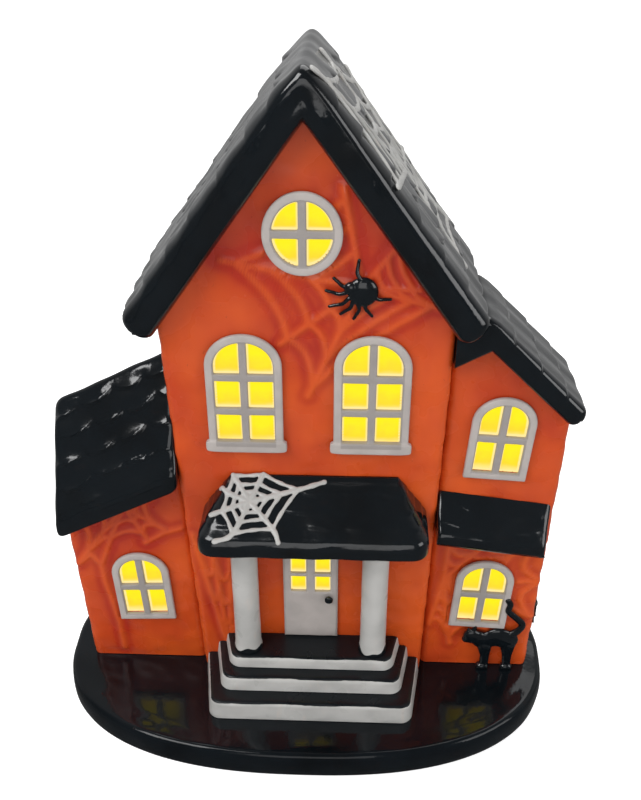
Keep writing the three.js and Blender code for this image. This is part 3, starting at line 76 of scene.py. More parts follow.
# Levels, joints and walls
SEAT = 0.3
BASE_TOP = 15.0
FOOTING = BASE_TOP + SEAT
WALL = 4.5
WALL_ROUND = 3.0
REVEAL = 0.8
HOUSE_NEAR, HOUSE_FAR = -17.0, 42.0
WING_NEAR = -12.0
LEFT_FAR, RIGHT_FAR = 20.0, 18.0
HOUSE_FACE = HOUSE_NEAR - SEAT
WING_FACE = WING_NEAR - SEAT

# Main roof, a steep gable
RIDGE_X = 2.0
GABLE_TOP = 263.4
ROOF_PITCH = np.radians(54.2)
ROOF_COSINE, ROOF_TANGENT = np.cos(ROOF_PITCH), np.tan(ROOF_PITCH)
ROOF_REACH, ROOF_THICK = 56.0, 12.5
ROOF_CREST, ROOF_CROWN = 0.8, 3.4
ROOF_NEAR, ROOF_FAR = -25.0, 50.0

# Left wing, whose roof climbs towards the house
LEFT_MIDDLE = 4.0
LEFT_RIDGE = 158.8
LEFT_FALL = 2.0125
LEFT_TILT, LEFT_TILT_X = 0.5, -75.0
LEFT_END = -102.6
LEFT_REACH = 24.0

# Right wing, an unequal gable, and the band of roof across its front
APEX_X = 70.0
APEX_TOP = 180.5
RIGHT_PITCH = np.radians(43.8)
RIGHT_TANGENT = np.tan(RIGHT_PITCH)
RIGHT_REACH, RIGHT_THICK, RIGHT_CREST = 33.6, 8.6, 1.5
SHORT_TANGENT = np.tan(np.radians(29.0))
SKIRT_TOP, SKIRT_LOW, SKIRT_END = 111.0, 91.5, 101.6

# Porch, columns and steps
PORCH_X = 5.0
PORCH_REACH = 24.0
PORCH_TOP, PORCH_DROP = 124.0, 17.0
PORCH_HALF, PORCH_FLARE = 33.0, 12.8
STRAND_LIFT = 0.9
STEP_X = 3.8
COLUMN_X = (-24.1, 30.5)
COLUMN_Y = -24.4
COLUMN_RADIUS = 5.5

# Steps from the base up: top, reach from the wall, and width at the near and at the far edge
STEPS = {
    "step_lower": (24.0, 30.0, 87.0, 97.0),
    "step_middle": (31.0, 22.2, 77.5, 86.5),
    "step_landing": (36.5, 15.5, 70.5, 78.0),
}

# Base: the power of its oval, the rim's width, the opening under the house, and the hollow underside
BASE_OVAL = 2.4
BASE_RIM = 14.0
OPENING = {"a": 36.0, "b": 21.0, "power": 9.0, "x": 3.0, "y": 12.0}
RECESS, RECESS_TOP = (94.5, 50.0), 5.8
HOLLOW, HOLLOW_TOP = (90.5, 46.0), 10.5

# Windows, with the middle's x and z, rows of lights, the wall's face and a tilt in degrees
Window = namedtuple("Window", "kind x z width height rows face tilt sill")
WINDOWS = {
    "attic": Window("oval", 1.2, 225.2, 28.0, 30.2, 2, HOUSE_NEAR, 0.0, False),
    "tall_left": Window("arch", -21.3, 161.5, 29.0, 50.8, 3, HOUSE_NEAR, 0.0, True),
    "tall_right": Window("arch", 26.9, 161.5, 29.0, 50.8, 3, HOUSE_NEAR, 0.0, True),
    "left_wing": Window("arch", -71.2, 59.0, 25.2, 38.0, 2, WING_NEAR, 2.5, False),
    "right_lower": Window("arch", 78.0, 59.0, 25.2, 38.0, 2, WING_NEAR, -3.0, False),
    "right_upper": Window("arch", 78.0, 140.2, 25.2, 38.0, 2, WING_NEAR, -3.6, False),
}
BAND = 3.4
BAND_PROUD = 2.2
BAR = 3.0
SILL_PROUD, SILL_HEIGHT = 0.8, 5.0
PANE_THICKNESS = 1.2
ARCH_RISE = 0.46
DOOR_LIGHTS = {"x": 3.2, "width": 6.6, "height": 8.4, "bar": 3.8, "rail": 1.7, "bottom": 63.3}


def srgb(red, green, blue):
    """Linear colour from display values of 0 to 255."""
    values = np.array([red, green, blue]) / 255.0
    low = values <= 0.04045
    return tuple(float(v) for v in np.where(low, values / 12.92, ((values + 0.055) / 1.055) ** 2.4))


def length_setting(name, description, value):
    """A setting for a length, with its default in mm."""
    return bpy.props.FloatProperty(name=name, description=description, default=value * MM, unit="LENGTH")


def colour_setting(name, description, *levels):
    """A setting for a colour, with its default in display values of 0 to 255."""
    default = srgb(*levels)
    return bpy.props.FloatVectorProperty(name=name, description=description, default=default, subtype="COLOR")


def power_setting(name, description, value):
    """A setting for a lamp's power, with its default in watts."""
    return bpy.props.FloatProperty(name=name, description=description, default=value, unit="POWER")


class HouseSizes(bpy.types.PropertyGroup):
    """Sizes of the modelled detail"""

    relief: length_setting("Wall web height", "How far the modelled web threads stand off the walls", 0.8)
    thread: length_setting("Wall web thread", "Width of a modelled web thread on the walls", 4.4)
    unevenness: length_setting(
        "Hand-pressed unevenness", "Height of the soft waves that pressing leaves in the clay", 0.22
    )
    shingle_rise: length_setting("Shingle butt", "How far a shingle's lower edge stands off the roof", 1.8)
    white_thread: length_setting("White web thread", "Width of the white web threads on the roofs", 2.2)


class HouseColours(bpy.types.PropertyGroup):
    """Colours of the glazes and of the lit windows"""

    orange: colour_setting("Orange glaze", "Walls, where the glaze is thin", 214, 87, 32)
    # Ember is also painted shade under the roof lines and beside the web threads.
    ember: colour_setting("Ember glaze", "Walls, where the glaze has pooled", 172, 44, 26)
    black: colour_setting("Black glaze", "Roofs, base, treads and figures", 15, 20, 24)
    white: colour_setting("White glaze", "Steps, columns and the roofs' webs", 186, 185, 182)
    grey: colour_setting("Grey glaze", "Window frames and the door", 170, 163, 159)
    # The window colours are painted light: the panes glow by themselves in place of the lamps inside.
    yellow: colour_setting("Window yellow", "Middle of a lit window light", 253, 233, 16)
    amber: colour_setting("Window amber", "Lower half of a lit window light", 249, 206, 48)
    cream: colour_setting("Window cream", "Foot and edges of a lit window light", 253, 232, 158)


class StudioLight(bpy.types.PropertyGroup):
    """Power of the studio's lamps"""

    key: power_setting("Key lamp", "Power of the large soft lamp in front on the left", 8.0)
    fill: power_setting("Fill lamp", "Power of the soft lamp on the right", 2.3)
    front: power_setting("Front lamp", "Power of the weak lamp that lights the shade under the eaves", 1.5)
    top: power_setting("Top lamp", "Power of the soft lamp above and behind", 3.9)


# Surfaces

Part = namedtuple("Part", "points quads caps")


def smooth(low, high, value):
    """0 below low and 1 above high, and 3t² - 2t³ in between."""
    t = np.clip((value - low) / (high - low), 0.0, 1.0)
    return t * t * (3.0 - 2.0 * t)


def ripple(a, b, size):
    """Soft waves of about -1 to 1 over two lengths: crossed sines of about the given wavelength."""
    turn = 2.0 * np.pi / size
    first = np.sin(turn * a + 1.4 * np.sin(0.61 * turn * b))
    second = np.sin(1.27 * turn * b + 1.1 * np.sin(0.53 * turn * a + 1.9))
    return 0.5 * (first + second)


def fillet(points, radii, steps):
    """A path in a plane, with each inner corner rounded by an arc of its radius.

    The arc is the quadratic curve between the points one tangent length before and after the corner.
    """
    points = np.array(points, dtype=float)
    path = [points[:1]]
    t = np.linspace(0.0, 1.0, steps)[:, None]
    for before, corner, after, radius in zip(points[:-2], points[1:-1], points[2:], radii):
        back, on = before - corner, after - corner
        start = corner + back * min(0.48, radius / np.linalg.norm(back))
        stop = corner + on * min(0.48, radius / np.linalg.norm(on))
        path.append((1 - t) ** 2 * start + 2 * t * (1 - t) * corner + t**2 * stop)
    path.append(points[-1:])
    return np.concatenate(path)


def resampled(path, spacing):
    """The same path with points at an even spacing."""
    length = np.concatenate([[0.0], np.cumsum(np.linalg.norm(np.diff(path, axis=0), axis=1))])
    even = np.linspace(0.0, length[-1], max(2, int(length[-1] / spacing) + 1))
    return np.stack([np.interp(even, length, path[:, k]) for k in range(path.shape[1])], axis=1)


def smoothed(points, steps=6):
    """A path through the points with Catmull-Rom curves between them."""
    p = np.array(points, dtype=float)
    p = np.concatenate([2 * p[:1] - p[1:2], p, 2 * p[-1:] - p[-2:-1]])
    t = np.linspace(0.0, 1.0, steps, endpoint=False)[None, :, None]
    a, b, c, d = (p[k : len(p) - 3 + k, None, :] for k in range(4))
    curve = b + 0.5 * t * (c - a + t * (2 * a - 5 * b + 4 * c - d + t * (3 * (b - c) + d - a)))
    return np.concatenate([curve.reshape(-1, p.shape[1]), p[-2:-1]])


def rounded_loop(counts, inset, near_radius, far_radius=None):
    """Points round a rounded rectangle, anticlockwise from its near left corner.

    Each point is a share, 0 to 1, of the rectangle's two sides plus an offset in mm. The straight runs
    lie inset inside the sides, and the corners are quarter circles. counts gives the points of a near,
    a side and a far run and of a corner.
    """
    near, side, far, turn = counts
    far_radius = near_radius if far_radius is None else far_radius
    reach, far_reach = inset + near_radius, inset + far_radius
    t, s, f = (np.linspace(0.0, 1.0, count) for count in (near, side, far))
    angle = np.radians(np.linspace(0.0, 90.0, turn + 2)[1:-1])
    sine, cosine = np.sin(angle), np.cos(angle)
    zero, one = np.zeros(turn), np.ones(turn)
    straight = np.full(side, inset)
    share_x = [t, one, np.ones(side), one, 1 - f, zero, np.zeros(side), zero]
    share_y = [np.zeros(near), zero, s, one, np.ones(far), one, 1 - s, zero]
    offset_x = [
        reach * (1 - 2 * t),
        near_radius * sine - reach,
        -straight,
        far_radius * cosine - far_reach,
        far_reach * (2 * f - 1),
        far_reach - far_radius * sine,
        straight,
        reach - near_radius * cosine,
    ]
    offset_y = [
        np.full(near, inset),
        reach - near_radius * cosine,
        reach * (1 - s) - far_reach * s,
        far_radius * sine - far_reach,
        np.full(far, -inset),
        far_radius * cosine - far_reach,
        reach * s - far_reach * (1 - s),
        reach - near_radius * sine,
    ]
    return tuple(np.concatenate(part) for part in (share_x, share_y, offset_x, offset_y))


def grid_quads(rows, columns, wrap_rows=False, wrap_columns=True):
    """Quads of a grid of points, each from corner (i, j) by (i, j + 1) to (i + 1, j + 1) and (i + 1, j)."""
    i = np.arange(rows if wrap_rows else rows - 1)[:, None]
    j = np.arange(columns if wrap_columns else columns - 1)[None, :]
    below, above = i * columns, (i + 1) % rows * columns
    left, right = j, (j + 1) % columns
    return np.stack([below + left, below + right, above + right, above + left], axis=-1).reshape(-1, 4)


def ringed(points, torus=False):
    """Closed part from rings of points: the first and last ring are capped, or joined on a torus."""
    rows, columns = points.shape[:2]
    quads = grid_quads(rows, columns, wrap_rows=torus)
    ends = [] if torus else [np.arange(columns)[::-1], np.arange(columns) + (rows - 1) * columns]
    return Part(points.reshape(-1, 3), quads, ends)


def shell(outer, inner, keep, wrap):
    """Closed part between two matching grids, with quads only where keep is true.

    Every open edge of the outer sheet gets a rim quad to the same edge of the inner one.
    """
    rows, columns = outer.shape[:2]
    cells = grid_quads(rows, columns, wrap_columns=wrap).reshape(keep.shape + (4,))
    count = rows * columns
    quads = [cells[keep], cells[keep][:, ::-1] + count]
    padded = np.pad(keep, 1)
    if wrap:
        padded[:, 0], padded[:, -1] = padded[:, -2], padded[:, 1]
    beside = [padded[:-2, 1:-1], padded[1:-1, 2:], padded[2:, 1:-1], padded[1:-1, :-2]]
    for side, neighbour in enumerate(beside):
        rim = cells[keep & ~neighbour]
        a, b = rim[:, side], rim[:, (side + 1) % 4]
        quads.append(np.stack([b, a, a + count, b + count], axis=-1))
    points = np.concatenate([outer.reshape(-1, 3), inner.reshape(-1, 3)])
    return Part(points, np.concatenate(quads), [])


def pushed(points, height):
    """Rings of points moved along their surface's outward direction by a height for each point.

    The direction is the cross product of the differences along and across the rings.
    """
    along = np.gradient(points, axis=0)
    across = np.roll(points, -1, axis=1) - np.roll(points, 1, axis=1)
    normal = np.cross(across, along)
    normal /= np.maximum(np.linalg.norm(normal, axis=-1, keepdims=True), 1e-9)
    outward = np.sum(normal * (points - points.mean(axis=(0, 1))))
    return points + normal * (height * np.sign(outward))[..., None]


def bead(centre, radii, squareness=1.0):
    """Superellipsoid: sines and cosines of two angles, each to the power of squareness, times the radii.

    A squareness of 1 is an ellipsoid, and towards 0 it becomes a block with soft edges.
    """
    power = lambda value: np.sign(value) * np.abs(value) ** squareness
    rise = np.linspace(-np.pi / 2 + 0.02, np.pi / 2 - 0.02, 25)[:, None]
    turn = np.linspace(0.0, 2 * np.pi, 40, endpoint=False)[None, :]
    level = power(np.cos(rise))
    grid = [level * power(np.cos(turn)), level * power(np.sin(turn)), power(np.sin(rise)) + 0 * turn]
    return ringed(np.array(centre) + np.stack(grid, axis=-1) * np.array(radii))


def block(low, high, squareness):
    """Soft-edged block between two corners."""
    low, high = np.array(low), np.array(high)
    return bead((low + high) / 2, (high - low) / 2, squareness)


def tube(points, radii, facing, flat=1.0, sides=14):
    """Rounded strand: an ellipse carried along a path and closed by half a ball at each end.

    The ellipse's one axis lies across the path, and the other along facing, flat times as long.
    """
    path = np.array(points, dtype=float)
    share = np.linspace(0.0, 1.0, len(path))
    radius = np.interp(share, np.linspace(0.0, 1.0, len(np.atleast_1d(radii))), np.atleast_1d(radii))
    facing = np.broadcast_to(np.array(facing, dtype=float), path.shape)
    tangent = np.gradient(path, axis=0)
    tangent /= np.linalg.norm(tangent, axis=1, keepdims=True)
    ball = np.radians(np.array([80.0, 60.0, 40.0, 20.0]))
    start = path[0] - tangent[0] * radius[0] * np.sin(ball)[:, None]
    stop = path[-1] + tangent[-1] * radius[-1] * np.sin(ball[::-1])[:, None]
    path = np.concatenate([start, path, stop])
    radius = np.concatenate([radius[0] * np.cos(ball), radius, radius[-1] * np.cos(ball[::-1])])
    ends = lambda rows: np.concatenate([rows[:1].repeat(4, 0), rows, rows[-1:].repeat(4, 0)])
    tangent, facing = ends(tangent), ends(facing)
    side = np.cross(tangent, facing)
    side /= np.linalg.norm(side, axis=1, keepdims=True)
    up = np.cross(side, tangent)
    turn = np.linspace(0.0, 2 * np.pi, sides, endpoint=False)[None, :, None]
    ring = side[:, None] * np.cos(turn) + up[:, None] * np.sin(turn) * flat
    return ringed(path[:, None] + ring * radius[:, None, None])


def mesh_from(name, parts):
    """One mesh of closed parts, in metres, without unused points."""
    points = np.concatenate([part.points for part in parts])
    starts = np.cumsum([0] + [len(part.points) for part in parts[:-1]])
    quads = np.concatenate([part.quads + start for part, start in zip(parts, starts)])
    caps = [cap + start for part, start in zip(parts, starts) for cap in part.caps]
    corners = np.concatenate([quads.ravel()] + caps)
    used, loops = np.unique(corners, return_inverse=True)
    sizes = np.concatenate([np.full(len(quads), 4), [len(cap) for cap in caps]]).astype(int)
    mesh = bpy.data.meshes.new(name)
    mesh.vertices.add(len(used))
    mesh.vertices.foreach_set("co", (points[used] * MM).ravel())
    mesh.loops.add(len(loops))
    mesh.loops.foreach_set("vertex_index", loops.ravel())
    mesh.polygons.add(len(sizes))
    mesh.polygons.foreach_set("loop_start", np.concatenate([[0], np.cumsum(sizes)[:-1]]))
    mesh.update(calc_edges=True)
    mesh.validate()
    shape = bmesh.new()
    shape.from_mesh(mesh)
    if shape.calc_volume(signed=True) < 0:
        bmesh.ops.reverse_faces(shape, faces=shape.faces)
        shape.to_mesh(mesh)
    shape.free()
    return mesh


def points_of(mesh):
    """The mesh's points in millimetres."""
    values = np.empty(len(mesh.vertices) * 3)
    mesh.vertices.foreach_get("co", values)
    return values.reshape(-1, 3) / MM


def box_of(name):
    """A solid's lowest and highest corners, in mm."""
    return [np.array(corner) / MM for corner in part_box(name)]


def make_piece(name, parts, glaze, skin=None, paint=None, sharp=40, replaces=True):
    """Its one material slot holds the glaze's material, named fired_ and the glaze's name.

    The glaze is also the name of its material slot.
    skin = (voxel, rounds) melts the parts into one skin of that voxel size in mm and smooths it.
    paint gives each finish value's name and its value at every point, from the points in mm.
    """
    mesh = mesh_from(name, parts)
    piece = bpy.data.objects.new(name, mesh)
    bpy.context.scene.collection.objects.link(piece)
    if skin:
        melt = piece.modifiers.new("Skin", "REMESH")
        melt.mode = "VOXEL"
        melt.voxel_size = skin[0] * MM
        soften = piece.modifiers.new("Soften", "SMOOTH")
        soften.factor = 0.5
        soften.iterations = skin[1]
        graph = bpy.context.evaluated_depsgraph_get()
        piece.data = bpy.data.meshes.new_from_object(piece.evaluated_get(graph))
        piece.data.name = name
        piece.modifiers.clear()
        bpy.data.meshes.remove(mesh)
        mesh = piece.data
    for label, value in (paint(points_of(mesh)) if paint else {}).items():
        layer = mesh.attributes.new(label, "FLOAT", "POINT")
        layer.data.foreach_set("value", np.ascontiguousarray(value, dtype=np.float32))
    mesh.shade_smooth()
    mesh.set_sharp_from_angle(angle=np.radians(sharp))
    mesh.materials.append(finish_of(glaze))
    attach(piece, "root")
    if replaces:
        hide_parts(name)
    return piece


# Finishes


class Socket:
    """A shader socket that takes arithmetic: each operation on it adds one Math node."""

    def __init__(self, nodes, socket):
        self.nodes = nodes
        self.socket = socket

    def maths(self, operation, first, second):
        return self.nodes.node("ShaderNodeMath", {"operation": operation}, {0: first, 1: second})

    def __add__(self, other):
        return self.maths("ADD", self, other)

    def __sub__(self, other):
        return self.maths("SUBTRACT", self, other)

    def __mul__(self, other):
        return self.maths("MULTIPLY", self, other)

    def __rsub__(self, other):
        return self.maths("SUBTRACT", other, self)

    __radd__ = __add__
    __rmul__ = __mul__

    def between(self, low, high, to_low=0.0, to_high=1.0):
        """Eases from to_low to to_high as the value goes from low to high."""
        settings = {"interpolation_type": "SMOOTHSTEP"}
        values = {"Value": self, "From Min": low, "From Max": high, "To Min": to_low, "To Max": to_high}
        return self.nodes.node("ShaderNodeMapRange", settings, values)


class Nodes:
    """Adds nodes to a tree of a material or of the world."""

    def __init__(self, tree):
        self.tree = tree

    def node(self, kind, settings, inputs, output=0):
        """Adds a node of a kind: settings first, then the values or links of its sockets."""
        node = self.tree.nodes.new(kind)
        for key, value in settings.items():
            setattr(node, key, value)
        for key, value in inputs.items():
            self.connect(self.find(node.inputs, key), value)
        return Socket(self, self.find(node.outputs, output))

    def ray(self, kind):
        """1 for rays of a kind, such as Is Camera Ray, and 0 for others."""
        return self.node("ShaderNodeLightPath", {}, {}, kind)

    @staticmethod
    def find(sockets, key):
        """A socket by its index, or by its identifier or name."""
        if isinstance(key, int):
            return sockets[key]
        return next(socket for socket in sockets if key in (socket.identifier, socket.name))

    def connect(self, socket, value):
        if isinstance(value, Socket):
            self.tree.links.new(value.socket, socket)
        elif socket.type == "RGBA":
            socket.default_value = (*value, 1.0)
        else:
            socket.default_value = value


class Finish(Nodes):
    """A material being built, with one Principled shader."""

    def __init__(self, name, **constants):
        self.material = bpy.data.materials.new("fired_" + name)
        self.material.use_nodes = True
        super().__init__(self.material.node_tree)
        self.shader = self.tree.nodes["Principled BSDF"]
        self.set(**constants)

    def place(self):
        """Object coordinates, in metres."""
        return self.node("ShaderNodeTexCoord", {}, {}, "Object")

    def noise(self, size, detail=2.0, stretch=(1.0, 1.0, 1.0)):
        """Noise of 0 to 1 with features of about that size in mm, stretched along the axes."""
        scale = tuple(1.0 / (size * MM * s) for s in stretch)
        place = self.node("ShaderNodeMapping", {}, {"Vector": self.place(), "Scale": scale})
        inputs = {"Vector": place, "Scale": 1.0, "Detail": detail}
        return self.node("ShaderNodeTexNoise", {}, inputs)

    def value(self, name):
        """The value that a piece carries at its points under that name."""
        return self.node("ShaderNodeAttribute", {"attribute_name": name}, {}, "Fac")

    def mix(self, share, first, second):
        """Colour between two colours."""
        inputs = {"Factor_Float": share, "A_Color": first, "B_Color": second}
        return self.node("ShaderNodeMix", {"data_type": "RGBA"}, inputs, "Result_Color")

    def set(self, **sockets):
        """Links or sets sockets of the shader, such as Base_Color or Roughness."""
        for name, value in sockets.items():
            self.connect(self.shader.inputs[name.replace("_", " ")], value)

    def bump(self, height, distance):
        """Bump of a height of 0 to 1 that stands for that distance in mm."""
        inputs = {"Height": height, "Distance": distance * MM, "Strength": 1.0}
        self.set(Normal=self.node("ShaderNodeBump", {}, inputs))


def colours(*names):
    """The set colours of those names."""
    return [tuple(getattr(bpy.context.scene.house_colours, name)) for name in names]


def shade(colour, factor):
    """The colour times a factor."""
    return tuple(min(1.0, channel * factor) for channel in colour)


def blended(first, second, share):
    """Colour a share of the way between two."""
    return tuple(a + (b - a) * share for a, b in zip(first, second))


def wall_glaze():
    """Orange glaze that pools to ember red beside the threads, partly painted shade, with painted shade under
    the roof line; it breaks thin and lighter over raised threads, partly a painted highlight, and has a
    painted highlight along the wall corners.
    """
    finish = Finish("wall_glaze", Coat_Weight=0.25, Coat_Roughness=0.12, Specular_IOR_Level=0.35)
    orange, ember = colours("orange", "ember")
    raised = finish.value("raised")
    pool = finish.value("pool")
    cloud = finish.noise(38.0, 2.0).between(0.38, 0.66)
    streak = finish.noise(9.0, 2.0, (1.0, 1.0, 2.6)).between(0.35, 0.7)
    # Ember where the glaze lies deep, and as painted shade under the roof line and beside the threads.
    depth = cloud * 0.4 + streak * 0.14 + pool * 0.45
    base = finish.mix(depth, orange, ember)
    # Lighter orange: thin glaze over the threads, partly a painted highlight, and a painted highlight along
    # the wall corners.
    thin = blended(shade(orange, 1.12), srgb(232, 120, 58), 0.3)
    colour = finish.mix(raised.between(0.2, 1.0, 0.0, 0.28), base, thin)
    speck = finish.noise(1.1, 1.0).between(0.74, 0.8, 0.0, 0.35)
    finish.set(Base_Color=finish.mix(speck, colour, shade(ember, 0.55)))
    finish.set(Roughness=finish.noise(14.0).between(0.3, 0.7, 0.22, 0.34))
    finish.bump(finish.noise(4.5, 2.0) * 0.75 + finish.noise(1.2, 1.0) * 0.25, 0.07)
    return finish.material


def black_glaze(name, warm=0.14, wave=0.16, size=7.0, shine=0.5):
    """Deep black glaze, a little brown where it runs thin, with a softly uneven shine."""
    finish = Finish(name, Coat_Weight=0.6 * shine, Coat_Roughness=0.04, Specular_IOR_Level=shine)
    (black,) = colours("black")
    cloud = finish.noise(22.0, 3.0).between(0.4, 0.72)
    base = finish.mix(cloud, black, shade(black, 0.55))
    thin = finish.noise(5.0, 3.0, (1.0, 1.0, 0.6)).between(0.62, 0.82, 0.0, warm)
    finish.set(Base_Color=finish.mix(thin, base, srgb(52, 34, 26)))
    finish.set(Roughness=finish.noise(11.0).between(0.3, 0.75, 0.07, 0.2))
    finish.bump(finish.noise(size, 2.0) * 0.8 + finish.noise(1.6, 1.0) * 0.2, wave)
    return finish.material


def white_glaze():
    """White glaze of the steps, columns and webs, with black glaze brushed where a piece says so."""
    finish = Finish("white_glaze", Coat_Weight=0.1, Coat_Roughness=0.1, Specular_IOR_Level=0.28)
    white, black = colours("white", "black")
    cloud = finish.noise(16.0, 3.0).between(0.35, 0.7)
    base = finish.mix(cloud, white, shade(white, 0.84))
    streak = finish.noise(3.0, 2.0, (1.0, 1.0, 5.0)).between(0.6, 0.8, 0.0, 0.3)
    base = finish.mix(streak, base, srgb(204, 185, 170))
    edge = finish.noise(2.6, 2.0) - 0.5
    brushed = (finish.value("black") + edge * 0.5).between(0.42, 0.58)
    finish.set(Base_Color=finish.mix(brushed, base, black))
    finish.set(Roughness=finish.noise(9.0).between(0.3, 0.7, 0.26, 0.4))
    finish.bump(finish.noise(3.5, 2.0), 0.04)
    return finish.material


def frame_glaze():
    """Satin grey glaze of the window frames and the door, with painted shade on the set-back glazing bars
    where a piece marks them.
    """
    finish = Finish("frame_glaze", Coat_Weight=0.1, Coat_Roughness=0.25, Specular_IOR_Level=0.35)
    (grey,) = colours("grey")
    cloud = finish.noise(9.0, 3.0).between(0.35, 0.7)
    base = finish.mix(cloud, shade(grey, 1.12), shade(grey, 0.98))
    grain = finish.noise(2.4, 3.0, (1.0, 1.0, 3.0)).between(0.6, 0.8, 0.0, 0.2)
    # Painted shade on the set-back glazing bars.
    settled = (finish.value("settled") + finish.noise(2.0) * 0.4 - 0.2).between(0.2, 0.9, 0.0, 0.6)
    base = finish.mix(grain, base, shade(grey, 0.75))
    finish.set(Base_Color=finish.mix(settled, base, shade(grey, 0.6)))
    finish.set(Roughness=finish.noise(5.0).between(0.3, 0.7, 0.36, 0.52))
    finish.bump(finish.noise(2.6, 2.0), 0.07)
    return finish.material


def amber_film():
    """Window film that glows by itself, painted light for the lamps inside: yellow turning amber downwards in
    each light, and cream at its foot and edges.
    """
    finish = Finish("amber_film", Roughness=0.35, Specular_IOR_Level=0.3, Emission_Strength=1.0)
    yellow, amber, cream = colours("yellow", "amber", "cream")
    low, rim = finish.value("low"), finish.value("rim")
    wander = finish.noise(5.0, 2.0) * 0.5 - 0.25
    glow = finish.mix((low + wander).between(0.2, 0.95), yellow, amber)
    glow = finish.mix((low + wander * 0.3).between(0.74, 1.0, 0.0, 0.8), glow, cream)
    glow = finish.mix(rim.between(0.1, 0.9), glow, cream)
    # The film's own glow is painted light in place of the lamps behind it.
    finish.set(Emission_Color=glow)
    finish.set(Base_Color=finish.mix(rim, srgb(120, 96, 10), srgb(96, 70, 30)))
    finish.bump(finish.noise(2.2, 2.0), 0.1)
    return finish.material


def moulded(name, levels, roughness, grain, metallic):
    """Moulded or rolled material with a fine grain and slightly worn shine."""
    finish = Finish(name, Metallic=metallic)
    cloud = finish.noise(12.0, 3.0).between(0.35, 0.75, 0.0, 0.5)
    fine = finish.noise(grain, 2.0)
    colour = srgb(*levels)
    finish.set(Base_Color=finish.mix(cloud, colour, shade(colour, 0.72)))
    finish.set(Roughness=fine.between(0.3, 0.7, roughness * 0.85, min(1.0, roughness * 1.15)))
    finish.bump(fine, 0.05)
    return finish.material


GLAZES = {
    "wall_glaze": wall_glaze,
    "roof_glaze": lambda: black_glaze("roof_glaze"),
    "base_glaze": lambda: black_glaze("base_glaze", 0.2, 0.2, 10.0, 0.22),
    "figure_glaze": lambda: black_glaze("figure_glaze", 0.1, 0.08, 4.0),
    "white_glaze": white_glaze,
    "frame_glaze": frame_glaze,
    "amber_film": amber_film,
}

# Moulded and rolled finishes: display colour, roughness, size of the grain in mm, and metal
MOULDED = {
    "rubber_feet": ((43, 43, 44), 0.85, 0.5, 0.0),
    "housing_plastic": ((34, 35, 37), 0.5, 0.4, 0.0),
    "switch_plastic": ((139, 141, 144), 0.45, 0.4, 0.0),
    "cell_jacket": ((61, 107, 74), 0.35, 1.2, 0.0),
    "contact_steel": ((186, 189, 194), 0.3, 0.6, 1.0),
    "board_laminate": ((31, 90, 53), 0.4, 0.8, 0.0),
    "led_lens": ((250, 240, 200), 0.15, 2.0, 0.0),
    "wire_black": ((26, 26, 26), 0.5, 0.6, 0.0),
    "wire_red": ((179, 33, 28), 0.5, 0.6, 0.0),
    "wire_yellow": ((217, 168, 30), 0.5, 0.6, 0.0),
}


def finish_of(name):
    """The material of that name, made when it is first asked for."""
    made = bpy.data.materials.get("fired_" + name)
    if made:
        return made
    return GLAZES[name]() if name in GLAZES else moulded(name, *MOULDED[name])


# Walls


def house_left(z):
    """Where the house's leaning left wall stands at a height, as the next three say of other walls."""
    return -45.7 - 0.0407 * (z - BASE_TOP)


def house_right(z):
    return 52.9 + 0.0221 * (z - BASE_TOP)


def wing_left(z):
    return -98.6 - 0.0356 * (z - BASE_TOP)


def wing_right(z):
    return 102.0 + 0.0181 * (z - BASE_TOP)


def house_roofline(x, y):
    """Height of the house's walls under the roof, as the next two say of the wings' walls."""
    return GABLE_TOP - 0.51 - np.abs(x - RIDGE_X) * ROOF_TANGENT


def left_roofline(x, y):
    return LEFT_RIDGE - 18.65 - np.abs(y - LEFT_MIDDLE) * LEFT_FALL + LEFT_TILT * (x - LEFT_TILT_X)


def right_roofline(x, y):
    fall = np.where(x > APEX_X, RIGHT_TANGENT, SHORT_TANGENT)
    return APEX_TOP - 0.42 - np.abs(x - APEX_X) * fall


def turned_in(x, z, window):
    """Position in a window's own upright frame, from its middle."""
    angle = np.radians(window.tilt)
    along, up = x - window.x, z - window.z
    return (
        along * np.cos(angle) + up * np.sin(angle),
        up * np.cos(angle) - along * np.sin(angle),
    )


def inside_window(x, z, window, grow):
    """Where a point lies inside the window's outline moved out by grow."""
    u, v = turned_in(x, z, window)
    half, tall = window.width / 2 + grow, window.height / 2 + grow
    if window.kind == "oval":
        return (u / half) ** 2 + (v / tall) ** 2 < 1
    rise = ARCH_RISE * window.width + grow
    spring = tall - rise
    arch = (u / half) ** 2 + (np.maximum(v - spring, 0.0) / rise) ** 2 < 1
    return arch & (v > -tall)


def thread_field(u, v, threads, width):
    """How much of a thread lies at each point, and the distance to the nearest thread.

    The first is cos², which falls from 1 on a thread's middle line to 0 at half its width.
    """
    nearest = np.full(np.shape(u), 1e6)
    for thread in threads:
        for (au, av), (bu, bv) in zip(thread[:-1], thread[1:]):
            du, dv = bu - au, bv - av
            t = np.clip(((u - au) * du + (v - av) * dv) / (du * du + dv * dv), 0.0, 1.0)
            nearest = np.minimum(nearest, np.hypot(u - au - t * du, v - av - t * dv))
    return np.cos(np.clip(nearest / width, 0.0, 0.5) * np.pi) ** 2, nearest


def web(centre, arms, shares, sag=0.16, around=False):
    """Threads of a cobweb: straight arms from its centre, and threads between neighbouring arms.

    A cross thread joins two arms at the same share of their lengths and sags towards the centre by sag
    times a parabola. With around, the last arm is joined to the first as well.
    """
    centre = np.array(centre, dtype=float)
    ends = [np.array(arm, dtype=float) for arm in arms]
    threads = [np.stack([centre, end]) for end in ends]
    t = np.linspace(0.0, 1.0, 6)[:, None]
    pairs = list(zip(ends[:-1], ends[1:])) + ([(ends[-1], ends[0])] if around else [])
    for share in shares:
        for first, second in pairs:
            a, b = (first - centre) * share, (second - centre) * share
            threads.append(centre + (a + (b - a) * t) * (1.0 - 4 * sag * t * (1 - t)))
    return threads


